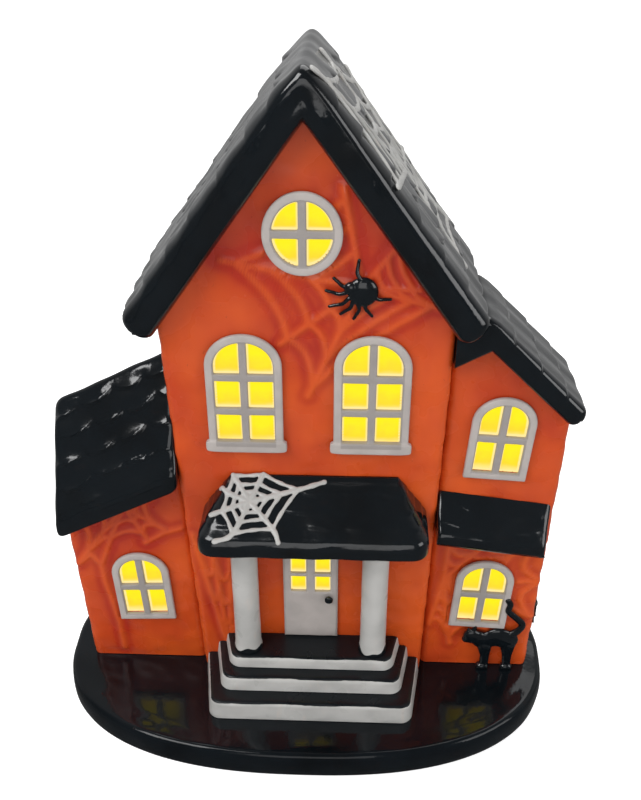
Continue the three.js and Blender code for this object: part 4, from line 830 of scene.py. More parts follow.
def wall_piece(name, left, right, near, far, roofline, windows, threads, extra_hole=None):
    """Hollow wall ring from the footing to the roof line, with raised web threads on its front.

    The ring is a rounded rectangle whose left and right sides lean with height. Each column of points
    goes from the footing to the roof line above it, found by stepping between x and the line's height.
    """
    sizes = bpy.context.scene.house_sizes
    width = right(FOOTING) - left(FOOTING)
    counts = (int(width * 1.15), int((far - near) / 2.2), int(width / 2.4), 4)

    def sheet(inset, radius):
        share_x, share_y, offset_x, offset_y = rounded_loop(counts, inset, radius)
        across = lambda z: left(z) + share_x * (right(z) - left(z)) + offset_x
        y = near + share_y * (far - near) + offset_y
        top = np.full(len(y), 150.0)
        for _ in range(8):
            top = roofline(across(top), y)
        rows = int((np.max(top) - FOOTING) / 1.25)
        z = FOOTING + np.linspace(0.0, 1.0, rows)[:, None] * (top - FOOTING)
        return np.stack([across(z), y + 0 * z, z], axis=-1)

    outer, inner = sheet(0.0, WALL_ROUND), sheet(WALL, 0.8)
    rows = min(len(outer), len(inner))
    pick = lambda grid: grid[np.linspace(0, len(grid) - 1, rows).round().astype(int)]
    outer, inner = pick(outer), pick(inner)
    x, y, z = np.moveaxis(outer, -1, 0)
    front = smooth(near + 2.6, near + 0.4, y)
    raised, _ = thread_field(x, z, threads, sizes.thread / MM)
    calm = np.ones_like(x)
    for window in windows:
        calm *= np.where(inside_window(x, z, window, 1.0), 0.0, 1.0)
    low_edge = smooth(FOOTING, FOOTING + 3, z)
    wave = ripple(x + y, z, 23.0) + 0.5 * ripple(x - y, z, 11.0)
    height = front * calm * raised * sizes.relief / MM + low_edge * wave * sizes.unevenness / MM
    outer = pushed(outer, height)
    middle = 0.25 * (outer[:-1] + outer[1:])
    middle = middle + np.roll(middle, -1, axis=1)
    mx, my, mz = np.moveaxis(middle, -1, 0)
    keep = np.ones(mx.shape, dtype=bool)
    for window in windows:
        keep &= ~(inside_window(mx, mz, window, REVEAL - BAND) & (my < near + 2))
    if extra_hole:
        keep &= ~(extra_hole(mx, mz) & (my < near + 2))

    def paint(points):
        px, py, pz = points.T
        facing = smooth(near + 2.6, near + 0.4, py)
        thread, gap = thread_field(px, pz, threads, sizes.thread / MM)
        # Glaze pooled beside the threads, partly painted shade, plus painted shade under the roof line.
        pool = np.exp(-((gap - 3.0) / 1.5) ** 2) * 0.85 + smooth(16.0, 4.0, gap) * 0.3
        pool = pool + 0.6 * smooth(45.0, 5.0, roofline(px, py) - pz)
        # Painted highlight along the wall's side corners, carried in raised beside the threads' thin glaze.
        edge = smooth(4.5, 0.5, np.minimum(px - left(pz), right(pz) - px)) * smooth(near + 4, near, py)
        return {"raised": np.maximum(thread * facing, edge * 0.7), "pool": pool * facing}

    make_piece(name, [shell(outer, inner, keep, True)], "wall_glaze", paint=paint)


def door_hole(x, z):
    """The opening behind the door's four lights."""
    door = DOOR_LIGHTS
    half = door["width"] + door["bar"] / 2 + REVEAL
    top = door["bottom"] + 2 * door["height"] + door["rail"] + REVEAL
    return (np.abs(x - door["x"]) < half) & (z > door["bottom"] - REVEAL) & (z < top)


class HOUSE_OT_walls(bpy.types.Operator):
    """Build the orange walls of the house and its wings, with web threads modelled on their fronts"""

    bl_idname = "haunted_house.walls"
    bl_label = "Walls"

    def execute(self, context):
        left_arms = [(15.2, 241.1), (-27.6, 215.0), (-7.4, 182.5), (2.7, 160.6)]
        right_arms = [(49.9, 197.9), (42.4, 204.7), (35.9, 223.2)]
        gable = web((22.0, 205.5), left_arms + right_arms, (0.38, 0.64, 0.9), 0.1)
        lower = web(
            (-33.2, 21.6),
            [(-46, 92), (-39, 92), (-31, 84), (-27, 62)],
            (0.36, 0.58, 0.82),
        )
        wall_piece(
            "main_house_walls",
            house_left,
            house_right,
            HOUSE_NEAR,
            HOUSE_FAR,
            house_roofline,
            [WINDOWS[key] for key in ("attic", "tall_left", "tall_right")],
            gable + lower,
            door_hole,
        )
        wall_piece(
            "left_wing_walls",
            wing_left,
            lambda z: house_left(z) - SEAT,
            WING_NEAR,
            LEFT_FAR,
            left_roofline,
            [WINDOWS["left_wing"]],
            web(
                (-75.2, 102.5),
                [(-104.0, 93.0), (-99.0, 70.0), (-84.8, 80.0), (-66.5, 84.0), (-58.5, 90.0), (-63.7, 106.1)],
                (0.42, 0.76),
            )
            + [
                [(-81.7, 88.0), (-88.5, 70.0), (-88.0, 60.0), (-85.8, 46.0), (-84.6, 36.6), (-83.8, 20.0)],
                [(-68.0, 83.0), (-59.8, 88.5), (-51.5, 91.5)],
                [(-99.0, 70.0), (-92.5, 76.0), (-88.5, 70.0)],
            ],
        )
        wall_piece(
            "right_wing_walls",
            lambda z: house_right(z) + SEAT,
            wing_right,
            WING_NEAR,
            RIGHT_FAR,
            right_roofline,
            [WINDOWS["right_lower"], WINDOWS["right_upper"]],
            web(
                (60.5, 66.0),
                [(62, 96), (78, 88), (102, 88), (108, 66), (104, 44), (84, 34), (66, 28), (56, 40)],
                (0.4, 0.66, 0.9),
            ),
        )
        return {"FINISHED"}


# Roofs


def plumb(place):
    """A roof's end that stands at the same place at every height."""
    return lambda z: np.full_like(z, place)


def slab(under, over, start, stop, counts, edge, ends):
    """Rings round a roof slab, one for each station across it, as (across, along, height) points.

    under and over are matching points of the slab's lower and upper lines. Each ring runs round the
    rounded rectangle between them and from start to stop along the roof. At an end with a radius the last
    rings step out on a quarter circle and close in, which rounds the eave.
    """
    share_q, share_h, offset_q, offset_h = rounded_loop(counts, 0.0, edge)
    rings = []

    def ring(low, high, pull, shrink):
        thick = np.linalg.norm(high - low)
        climb = 0.5 + (share_h + offset_h / thick - 0.5) * (1 - 2 * shrink / thick)
        across = low + (high - low) * climb[:, None]
        first, last = start(across[:, 1]) + pull, stop(across[:, 1]) - pull
        along = first + share_q * (last - first) + offset_q
        return np.stack([across[:, 0], along, across[:, 1]], axis=-1)

    def end(at, before, radius):
        out = (under[at] + over[at] - under[before] - over[before]) / 2
        out /= np.linalg.norm(out)
        for angle in np.radians((18.0, 36.0, 54.0, 70.0, 84.0)):
            shift = out * radius * np.sin(angle)
            shrink = radius * (1 - np.cos(angle))
            yield ring(under[at] + shift, over[at] + shift, shrink * 0.6, shrink)

    if ends[0]:
        rings += list(end(0, 1, ends[0]))[::-1]
    rings += [ring(low, high, 0.0, 0.0) for low, high in zip(under, over)]
    if ends[1]:
        rings += list(end(-1, -2, ends[1]))
    return np.stack(rings)


def shingles(down, across, course, tab, scallop, drop, swell, power=0.8):
    """Height, 0 to 1, of overlapping shingles.

    Each course thickens from its head to its butt, as the power of the share of the way, and falls there
    over the length drop. down is the distance from the ridge and across the distance along it. The butt
    line bows up by scallop at the sides of each tab, and tabs are staggered by half from one course to
    the next and thinner at their sides by the share swell.
    """
    row = np.floor(down / course)

    def tabs(index):
        phase = across / tab + 0.5 * (index % 2) + 0.16 * np.sin(2.4 * index) + 0.05 * np.sin(across / 5.3)
        return np.abs(2 * (phase - np.floor(phase)) - 1)

    def butt(index):
        uneven = 0.5 * np.sin(across / 6.1 + 2.1 * index) + 0.3 * np.sin(across / 2.7 + index)
        return (index + 1) * course - scallop * tabs(index) ** 3 + uneven

    def thickness(index):
        return 1.0 - swell * tabs(index) ** 2

    row = row + (down > butt(row))
    start, stop = butt(row - 1), butt(row)
    share = np.clip((down - start) / (stop - start), 0.0, 1.0)
    fall = (1.0 - smooth(0.0, drop, down - start)) * thickness(row - 1)
    return np.maximum(share**power * thickness(row), fall)


def roof_piece(name, rings, counts, height, lip=0.3, turn=False, shear=None):
    """A roof slab's rings pushed out by the shingles on its upper run.

    Its edges get waves that grow from nothing on its underside to the height lip on top.
    """
    share_h = rounded_loop(counts, 0.0, 1.0)[1]
    top = (share_h > 0.7).astype(float)
    wave = ripple(rings[..., 0] + rings[..., 2], rings[..., 1], 19.0)
    steps = np.linalg.norm(np.diff(rings.mean(axis=1), axis=0), axis=1)
    travel = np.concatenate([[0.0], np.cumsum(steps)])[:, None]
    edge = ripple(travel, rings[..., 1], 16.0)
    height = height * top + wave * 0.22 * share_h + (1 - top) * share_h * edge * lip
    rings = pushed(rings, height)
    if turn:
        rings = rings[..., [1, 0, 2]]
    if shear:
        rings[..., 2] += shear[0] * (rings[..., 0] - shear[1])
    make_piece(name, [ringed(rings)], "roof_glaze", sharp=60)


def main_slope(x, y):
    """Height of the main roof's slopes at a place: a hyperbola across the ridge, which rounds it."""
    crest = GABLE_TOP + ROOF_CREST + ROOF_THICK / ROOF_COSINE
    return crest - ROOF_TANGENT * np.hypot(x - RIDGE_X, ROOF_CROWN)


class HOUSE_OT_roofs(bpy.types.Operator):
    """Build the shingled roofs of the house and its wings"""

    bl_idname = "haunted_house.roofs"
    bl_label = "Roofs"

    def execute(self, context):
        rise = context.scene.house_sizes.shingle_rise / MM
        self.main_roof(rise * 0.7)
        self.left_roof(rise * 0.6)
        self.right_roof(rise * 0.4)
        self.skirt(rise * 0.18)
        return {"FINISHED"}

    def main_roof(self, rise):
        share = np.linspace(-1.0, 1.0, 451) * 0.975
        over_reach = ROOF_REACH + ROOF_THICK * np.sin(ROOF_PITCH)
        under_x, over_x = RIDGE_X + ROOF_REACH * share, RIDGE_X + over_reach * share
        under = np.stack([under_x, GABLE_TOP - ROOF_REACH * np.abs(share) * ROOF_TANGENT], axis=1)
        over = np.stack([over_x, main_slope(over_x, 0.0)], axis=1)
        counts = (12, 5, 78, 7)
        rings = slab(under, over, plumb(ROOF_NEAR), plumb(ROOF_FAR), counts, 4.8, (3.6, 3.6))
        down = np.abs(rings[..., 0] - RIDGE_X) / ROOF_COSINE
        slope = over_reach / ROOF_COSINE
        course = slope / 7
        fade = smooth(7.0, 16.0, down) * smooth(slope - 0.5, slope - 3.0, down)
        edge = smooth(ROOF_NEAR, ROOF_NEAR + 9, rings[..., 1]) * smooth(ROOF_FAR, ROOF_FAR - 9, rings[..., 1])
        wander = down + 1.6 * ripple(down, rings[..., 1], 26.0)
        field = shingles(wander, rings[..., 1] + 30.0, course, 14.5, 3.2, 2.0, 0.5)
        roof_piece("main_roof", rings, counts, rise * field * fade * edge, 1.1)

    def right_roof(self, rise):
        out_x, out_z = RIGHT_THICK * np.sin(RIGHT_PITCH), RIGHT_THICK * np.cos(RIGHT_PITCH)
        crest = APEX_TOP + RIGHT_THICK / np.cos(RIGHT_PITCH) + out_x / 2 + RIGHT_CREST
        crown = np.array([APEX_X - out_x / 2, crest])
        foot = np.array([APEX_X + RIGHT_REACH, APEX_TOP - RIGHT_REACH * RIGHT_TANGENT])
        fall = (crown[1] - foot[1] - out_z) / (foot[0] + out_x - crown[0])
        left = np.linspace(0.0, 1.0, 24, endpoint=False)[:, None]
        right = np.linspace(0.0, 1.0, 150)[:, None] * 0.93
        start_x = house_right(175.0) + SEAT
        low_left = np.array([start_x, APEX_TOP - (APEX_X - start_x) * SHORT_TANGENT])
        apex = np.array([APEX_X, APEX_TOP])
        under = np.concatenate([low_left + (apex - low_left) * left, apex + (foot - apex) * right])
        spans = [start_x + (crown[0] - start_x) * left, crown[0] + (foot[0] + out_x - crown[0]) * right]
        over_x = np.concatenate(spans)[:, 0]
        short = crown[1] - RIGHT_CREST - (crown[0] - over_x) * SHORT_TANGENT
        long = crown[1] - (over_x - crown[0]) * fall
        over_z = -2.0 * np.logaddexp(-short / 2.0, -long / 2.0)
        over = np.stack([over_x, over_z], axis=1)
        counts = (10, 5, 50, 4)
        rings = slab(under, over, plumb(-19.0), plumb(24.0), counts, 3.0, (0, 3.4))
        down = np.maximum(rings[..., 0] - crown[0], 0.0) * np.hypot(1.0, fall)
        slope = (foot[0] + out_x - crown[0]) * np.hypot(1.0, fall)
        fade = smooth(3.0, 8.0, down) * smooth(slope - 0.5, slope - 3.0, down)
        field = shingles(down, rings[..., 1] + 30.0, slope / 4.0, 13.0, 2.0, 2.2, 0.3) * fade
        roof_piece("right_wing_roof", rings, counts, rise * field)

    def left_roof(self, rise):
        lip = [(-18.4, 104.9), (-12.6, 107.4), (LEFT_MIDDLE, 140.8)]
        lip += [(2 * LEFT_MIDDLE - y, z) for y, z in lip[1::-1]]
        under = resampled(np.array(lip), 0.5)
        share = np.linspace(-1.0, 1.0, len(under)) * 0.97
        over_y = LEFT_MIDDLE + LEFT_REACH * share
        over = np.stack([over_y, LEFT_RIDGE + 3.4 - LEFT_FALL * np.hypot(over_y - LEFT_MIDDLE, 2.4)], axis=1)
        counts = (10, 5, 64, 4)
        at_wall = lambda z: house_left(z) - SEAT
        rings = slab(under, over, plumb(LEFT_END), at_wall, counts, 3.2, (2.8, 2.8))
        down = np.abs(rings[..., 0] - LEFT_MIDDLE) * np.hypot(1.0, LEFT_FALL)
        slope = LEFT_REACH * np.hypot(1.0, LEFT_FALL)
        fade = smooth(2.0, 6.0, down) * smooth(slope - 0.5, slope - 3.0, down)
        edge = smooth(LEFT_END, LEFT_END + 3, rings[..., 1]) * smooth(-51.0, -56.0, rings[..., 1])
        field = shingles(down, rings[..., 1] + 105.0, slope / 5, 14.0, 3.4, 1.2, 1.0, 5.0)
        field *= fade * edge
        shear = (LEFT_TILT, LEFT_TILT_X)
        roof_piece("left_wing_roof", rings, counts, rise * field, turn=True, shear=shear)

    def skirt(self, rise):
        outer = WING_FACE - 12.8
        path = fillet([(WING_FACE, SKIRT_TOP), (outer, 96.5), (outer + 0.8, SKIRT_LOW)], [3.0], 6)
        over = resampled(path, 0.45)[:-4]
        base = np.linspace(WING_FACE, outer + 1.6, len(over))
        under = np.stack([base, np.full(len(over), SKIRT_LOW)], axis=1)
        counts = (10, 4, 60, 3)
        at_wall = lambda z: house_right(z) + SEAT
        rings = slab(under, over, at_wall, plumb(SKIRT_END), counts, 1.6, (0, 0))
        hip = smooth(94.0, SKIRT_END, rings[..., 1]) * (WING_FACE - rings[..., 0]) * 0.22
        rings[..., 1] -= hip
        down = np.hypot(rings[..., 0] - WING_FACE, rings[..., 2] - SKIRT_TOP)
        field = shingles(down, rings[..., 1], 6.6, 13.0, 1.0, 2.2, 0.3)
        field *= smooth(1.0, 3.0, down) * smooth(20.0, 17.5, down)
        field *= smooth(100.0, 94.0, rings[..., 1]) * smooth(55.0, 59.0, rings[..., 1])
        shear = (-0.13, 79.35)
        roof_piece("right_wing_skirt_roof", rings, counts, rise * field, turn=True, shear=shear)


def porch_surface(x, y):
    """Height of the porch roof's slopes at a place: the lower of its front slope and its hips."""
    front = (HOUSE_FACE - y) / PORCH_REACH
    hip = (np.abs(x - PORCH_X) - PORCH_HALF) / PORCH_FLARE
    return PORCH_TOP - PORCH_DROP * np.clip(np.maximum(front, hip), 0.0, 1.0)


class HOUSE_OT_porch_roof(bpy.types.Operator):
    """Build the hipped porch roof with its rounded lip"""

    bl_idname = "haunted_house.porch_roof"
    bl_label = "Porch roof"

    def execute(self, context):
        rise = context.scene.house_sizes.shingle_rise / MM * 0.2
        eave = (PORCH_REACH, PORCH_TOP - PORCH_DROP)
        corners = [(0.6, PORCH_TOP), eave, (PORCH_REACH - 0.2, 99.6), (PORCH_REACH - 5.0, 100.8)]
        path = resampled(fillet(corners, [3.4, 2.6], 8), 0.5)
        counts = (110, 34, 30, 8)
        rings = []
        for depth, z in path:
            half = PORCH_HALF + PORCH_FLARE * depth / PORCH_REACH
            radius = 1.0 + 5.5 * depth / PORCH_REACH
            share_x, share_y, offset_x, offset_y = rounded_loop(counts, 0.0, min(radius, depth * 0.9), 0.2)
            x = PORCH_X + (2 * share_x - 1) * half + offset_x
            y = HOUSE_FACE - depth * (1 - share_y) + offset_y
            rings.append(np.stack([x, y, np.full_like(x, z)], axis=-1))
        rings = np.stack(rings)
        down = np.linalg.norm(path - path[0], axis=1)[:, None] * np.ones(rings.shape[1])
        turn = np.where(rings[..., 1] > HOUSE_FACE - 0.4, 0.0, 1.0)
        side = np.clip((rings[..., 0] - PORCH_X) / 30.0, -1.0, 1.0)
        around = rings[..., 0] + (HOUSE_FACE - rings[..., 1]) * side * 0.4
        fade = smooth(1.5, 4.0, down) * smooth(29.0, 26.5, down) * turn
        field = shingles(down, around, 7.1, 17.0, 0.9, 2.2, 0.3) * fade
        wave = ripple(around, down, 21.0) * 0.2 * turn
        rings = pushed(rings, rise * field + wave)
        rings[..., 1] = np.minimum(rings[..., 1], HOUSE_FACE)
        make_piece("porch_roof", [ringed(rings)], "roof_glaze", sharp=50)
        return {"FINISHED"}


def strands_on(height, threads, width, normal):
    """Flat strands of white glaze laid on a surface: their paths get its height at each place."""
    parts = []
    for thread in threads:
        plan = resampled(smoothed(thread), 0.8)
        path = np.column_stack([plan, height(plan[:, 0], plan[:, 1]) + STRAND_LIFT])
        radii = width / 2 * (1.0 + 0.12 * np.sin(np.arange(len(path)) * 0.9 + plan[0, 0]))
        parts.append(tube(path, radii, normal(plan[:, 0], plan[:, 1]), 0.6))
    return parts


def normal_of(height):
    """Upward direction of a surface of heights, from its differences over 0.2 mm."""

    def normal(x, y):
        dx = (height(x + 0.1, y) - height(x - 0.1, y)) / 0.2
        dy = (height(x, y + 0.1) - height(x, y - 0.1)) / 0.2
        return np.column_stack([-dx, -dy, np.ones_like(dx)]) / np.sqrt(1 + dx**2 + dy**2)[:, None]

    return normal


class HOUSE_OT_roof_webs(bpy.types.Operator):
    """Lay the white cobwebs on the porch roof and the main roof"""

    bl_idname = "haunted_house.roof_webs"
    bl_label = "White webs"

    def execute(self, context):
        width = context.scene.house_sizes.white_thread / MM
        centre = (-20.1, -27.3)
        corners = [
            (-1.0, -22.9),
            (-15.3, -17.8),
            (-27.4, -18.3),
            (-29.3, -24.3),
            (-30.9, -30.6),
            (-26.1, -38.1),
            (-10.5, -36.2),
        ]
        tips = {0: (9.0, -20.2), 3: (-32.0, -21.3), 4: (-35.0, -32.0), 5: (-32.8, -40.6), 6: (-8.1, -40.6)}
        arms = [[centre, corner] + ([tips[k]] if k in tips else []) for k, corner in enumerate(corners)]
        rings = web(centre, corners, (0.18, 0.38, 0.66, 1.0), 0.05, around=True)[len(corners) :]
        normal = normal_of(porch_surface)
        parts = strands_on(porch_surface, arms, width, normal)
        parts += strands_on(porch_surface, rings, width * 0.78, normal)
        self.lay("porch_roof_web", parts)

        corners = [
            (52.5, -23.5),
            (5.4, -22.5),
            (8.0, 16.0),
            (22.0, 43.0),
            (60.0, 45.0),
            (96.0, 41.0),
            (99.6, 3.4),
        ]
        runs = web((60.0, 14.0), corners, (0.2, 0.4, 0.62, 0.88), 0.08)
        threads = [[(RIDGE_X + down * ROOF_COSINE, y) for down, y in run] for run in runs]
        self.lay("main_roof_web", strands_on(main_slope, threads, width * 1.1, normal_of(main_slope)))
        return {"FINISHED"}

    @staticmethod
    def lay(name, parts):
        plain = lambda points: {"black": np.zeros(len(points))}
        make_piece(name, parts, "white_glaze", (0.32, 3), plain, 60, replaces=False)


# Base, steps and columns


class HOUSE_OT_base(bpy.types.Operator):
    """Build the oval base with its rounded rim and hollow underside"""

    bl_idname = "haunted_house.base"
    bl_label = "Base"

    def execute(self, context):
        angle = np.linspace(0.0, 2 * np.pi, 480, endpoint=False)

        def oval(a, b, power, x=0.0, y=0.0):
            """Superellipse of half sizes a and b round a middle."""
            bend = lambda value: np.sign(value) * np.abs(value) ** (2.0 / power)
            return np.stack([x + a * bend(np.cos(angle)), y + b * bend(np.sin(angle))], axis=-1)

        low, high = box_of("base_plinth")
        half_x, half_y = high[0], high[1]
        bottom, top = low[2], high[2]
        rim = [(BASE_RIM, top), (6.25, top), (0.0, top), (0.0, bottom), (6.25, bottom), (12.0, bottom)]
        rim = resampled(fillet(rim, [0.5, 6.2, 6.2, 0.5], 10), 0.9)
        hole = oval(**OPENING)
        rings = [np.column_stack([hole, np.full(len(angle), z)]) for z in (HOLLOW_TOP, 12.5, top - 0.3)]
        edge = oval(half_x - BASE_RIM, half_y - BASE_RIM, BASE_OVAL)
        for share in np.linspace(0.01, 0.98, 16):
            plan = hole + (edge - hole) * share
            rings.append(np.column_stack([plan, np.full(len(angle), top)]))
        for inset, z in rim:
            plan = oval(half_x - inset, half_y - inset, BASE_OVAL)
            rings.append(np.column_stack([plan, np.full(len(angle), z)]))
        under = [(*RECESS, bottom), (*RECESS, RECESS_TOP), (*HOLLOW, RECESS_TOP), (*HOLLOW, HOLLOW_TOP)]
        for a, b, z in under:
            rings.append(np.column_stack([oval(a, b, BASE_OVAL), np.full(len(angle), z)]))
        rings = np.stack(rings)
        reach = np.hypot(rings[..., 0] / half_x, rings[..., 1] / half_y)
        rim_only = smooth(0.9, 0.97, reach) * smooth(bottom + 1, bottom + 4, rings[..., 2])
        wave = ripple(rings[..., 0] * 0.8 + rings[..., 2], rings[..., 1], 26.0) - 1.0
        rings = pushed(rings, 0.25 * wave * rim_only)
        make_piece("base_plinth", [ringed(rings, torus=True)], "base_glaze")
        return {"FINISHED"}


class HOUSE_OT_steps(bpy.types.Operator):
    """Build the three white steps with their black treads"""

    bl_idname = "haunted_house.steps"
    bl_label = "Steps"

    def execute(self, context):
        bottom = FOOTING
        for name, (top, *sizes) in STEPS.items():
            self.tier(name, bottom, top, *sizes)
            bottom = top + SEAT
        return {"FINISHED"}

    def tier(self, name, bottom, top, reach, near_width, far_width):
        front = HOUSE_FACE - reach
        profile = fillet([(0.0, bottom), (0.9, top), (7.0, top)], [1.7], 7)
        path = resampled(profile, 0.45)
        counts = (120, 34, 40, 8)

        def half(y):
            share = (y - front) / reach
            return (near_width + (far_width - near_width) * share) / 2

        rings = []
        for inset, z in path:
            share_x, share_y, offset_x, offset_y = rounded_loop(counts, inset, 4.4, 0.2)
            y = front + share_y * (reach + inset) + offset_y
            x = STEP_X + (2 * share_x - 1) * half(y) + offset_x
            rings.append(np.stack([x, y, np.full_like(x, z)], axis=-1))
        rings = np.stack(rings)
        free = smooth(HOUSE_FACE - 0.5, HOUSE_FACE - 3.0, rings[..., 1])
        wave = ripple(rings[..., 0], rings[..., 2] + rings[..., 1], 15.0)
        level = smooth(bottom, bottom + 1.5, rings[..., 2]) * smooth(top - 0.1, top - 1.2, rings[..., 2])
        rings = pushed(rings, 0.22 * wave * free * level)

        def paint(points):
            x, y, z = points.T
            inset = np.minimum(y - front, half(y) - np.abs(x - STEP_X))
            uneven = 0.12 * np.sin(x / 5.3) + 0.03 * np.sin(x / 1.9 + 1.0)
            tread = smooth(0.9, 1.4, inset + uneven) * smooth(top - 1.1, top - 0.6, z)
            return {"black": tread}

        make_piece(name, [ringed(rings)], "white_glaze", paint=paint)


class HOUSE_OT_columns(bpy.types.Operator):
    """Build the two white porch columns with black glaze at their heads and feet"""

    bl_idname = "haunted_house.columns"
    bl_label = "Columns"

    def execute(self, context):
        for name, x in zip(("porch_column_left", "porch_column_right"), COLUMN_X):
            low, high = box_of(name)
            z = np.linspace(low[2], high[2], 120)[:, None]
            turn = np.linspace(0.0, 2 * np.pi, 72, endpoint=False)[None, :]
            share = (z - low[2]) / (high[2] - low[2])
            radius = COLUMN_RADIUS + 0.5 * np.exp(-((z - low[2]) / 2.2) ** 2) + 0.12 * (1 - share)
            radius = radius + 0.05 * ripple(turn * 6.0, z, 21.0) - 0.6 * smooth(high[2] - 0.7, high[2], z)
            ring = [x + radius * np.cos(turn), COLUMN_Y + radius * np.sin(turn), z + 0 * turn]
            wave = lambda angle: 0.8 * np.sin(2 * angle + x) + 0.6 * np.sin(5 * angle)

            def paint(points):
                angle = np.arctan2(points[:, 1] - COLUMN_Y, points[:, 0] - x)
                head = smooth(high[2] - 2.4, high[2] - 1.6, points[:, 2] + 0.3 * wave(angle))
                foot = smooth(low[2] + 2.2, low[2] + 1.0, points[:, 2] + wave(angle))
                return {"black": np.maximum(head, foot)}

            parts = [ringed(np.stack(ring, axis=-1))]
            make_piece(name, parts, "white_glaze", paint=paint)
        return {"FINISHED"}


# Windows and door


def window_outline(window, grow):
    """Closed outline of a window moved out by grow, anticlockwise from its foot, as (across, up) points.

    An arch has a straight foot and sides up to the springing and half an ellipse over them.
    """
    half, tall = window.width / 2 + grow, window.height / 2 + grow
    if window.kind == "oval":
        turn = np.linspace(0.0, 2 * np.pi, 120, endpoint=False)
        return np.stack([half * np.cos(turn), tall * np.sin(turn)], axis=-1)
    rise = ARCH_RISE * window.width + grow
    t = np.linspace(0.0, 1.0, 30, endpoint=False)
    arc = np.pi * np.linspace(0.0, 1.0, 50, endpoint=False)
    spring = tall - rise
    x = [half * (2 * t - 1), np.full(30, half), half * np.cos(arc), np.full(30, -half)]
    z = [np.full(30, -tall), -tall + (spring + tall) * t, spring + rise * np.sin(arc)]
    z.append(spring - (spring + tall) * t)
    return np.stack([np.concatenate(x), np.concatenate(z)], axis=-1)


def stand(points, window):
    """Window points (across, depth, up) turned by the window's tilt and put in place."""
    angle = np.radians(window.tilt)
    u, y, v = np.moveaxis(points, -1, 0)
    x = window.x + u * np.cos(angle) - v * np.sin(angle)
    z = window.z + u * np.sin(angle) + v * np.cos(angle)
    return np.stack([x, y, z], axis=-1)


def window_bars(window):
    """Heights of the level glazing bars, from the window's middle."""
    glazed = window.height - 2 * BAND
    return [glazed * (row / window.rows - 0.5) for row in range(1, window.rows)]


class HOUSE_OT_windows(bpy.types.Operator):
    """Build the window frames with their glazing bars, and the lit panes behind them"""

    bl_idname = "haunted_house.windows"
    bl_label = "Windows"

    def execute(self, context):
        for key, window in WINDOWS.items():
            self.frame(key, window)
            self.pane(key, window)
        return {"FINISHED"}

    def frame(self, key, window):
        width, height, face = window.width, window.height, window.face - SEAT
        turn = np.linspace(0.0, 2 * np.pi, 20, endpoint=False)
        bend = lambda value: np.sign(value) * np.abs(value) ** 0.55
        middle = BAND / 2
        insets = middle - middle * bend(np.cos(turn))
        depths = face - BAND_PROUD / 2 - BAND_PROUD / 2 * bend(np.sin(turn))
        rings = []
        for inset, depth in zip(insets, depths):
            outline = window_outline(window, -inset)
            rings.append(np.column_stack([outline[:, 0], np.full(len(outline), depth), outline[:, 1]]))
        parts = [ringed(stand(np.stack(rings), window), torus=True)]
        front = face - BAND_PROUD + 0.2

        def bar(low, high):
            part = block((low[0], front, low[1]), (high[0], face, high[1]), 0.3)
            return part._replace(points=stand(part.points, window))

        parts.append(bar((-BAR / 2, 1 - height / 2), (BAR / 2, height / 2 - 1)))
        for level in window_bars(window):
            half = width / 2 - 1.5
            parts.append(bar((-half, level - BAR / 2), (half, level + BAR / 2)))
        if window.sill:
            half = width / 2 + 1.3
            near, top = face - BAND_PROUD - SILL_PROUD, SILL_HEIGHT - height / 2
            sill = block((-half, near, -height / 2), (half, face, top), 0.25)
            parts.append(sill._replace(points=stand(sill.points, window)))

        def paint(points):
            # Painted shade on the set-back glazing bars inside the frame's band.
            within = inside_window(points[:, 0], points[:, 2], window, 0.6 - BAND)
            return {"settled": within.astype(float)}

        make_piece("frame_" + key, parts, "frame_glaze", (0.3, 5), paint, 60)

    def pane(self, key, window):
        width, height, face = window.width, window.height, window.face
        u = np.linspace(-width / 2, width / 2, 48)[None, :]
        v = np.linspace(-height / 2, height / 2, int(height / 0.6))[:, None]
        u, v = u + 0 * v, v + 0 * u
        middle_u = (u[:-1, :-1] + u[1:, 1:]) / 2
        middle_v = (v[:-1, :-1] + v[1:, 1:]) / 2
        upright = window._replace(x=0.0, z=0.0, tilt=0.0)
        keep = inside_window(middle_u, middle_v, upright, 0.5 - BAND)
        sheet = lambda y: stand(np.stack([u, np.full_like(u, y), v], axis=-1), window)
        part = shell(sheet(face), sheet(face + PANE_THICKNESS), keep, False)

        def paint(points):
            across, up = turned_in(points[:, 0], points[:, 2], window)
            rim = window_outline(window, -BAND)
            near = np.min(np.hypot(across[:, None] - rim[:, 0], up[:, None] - rim[:, 1]), axis=1)
            row = (height - 2 * BAND) / window.rows
            low = 1.0 - ((up + height / 2 - BAND) / row) % 1.0
            for level in window_bars(window):
                near = np.minimum(near, np.abs(up - level) - BAR / 2)
            near = np.minimum(near, np.abs(across) - BAR / 2)
            return {"low": low, "rim": smooth(1.0, 0.1, near)}

        # The pane glows by itself as painted light for the lamps inside.
        make_piece("pane_" + key, [part], "amber_film", paint=paint)


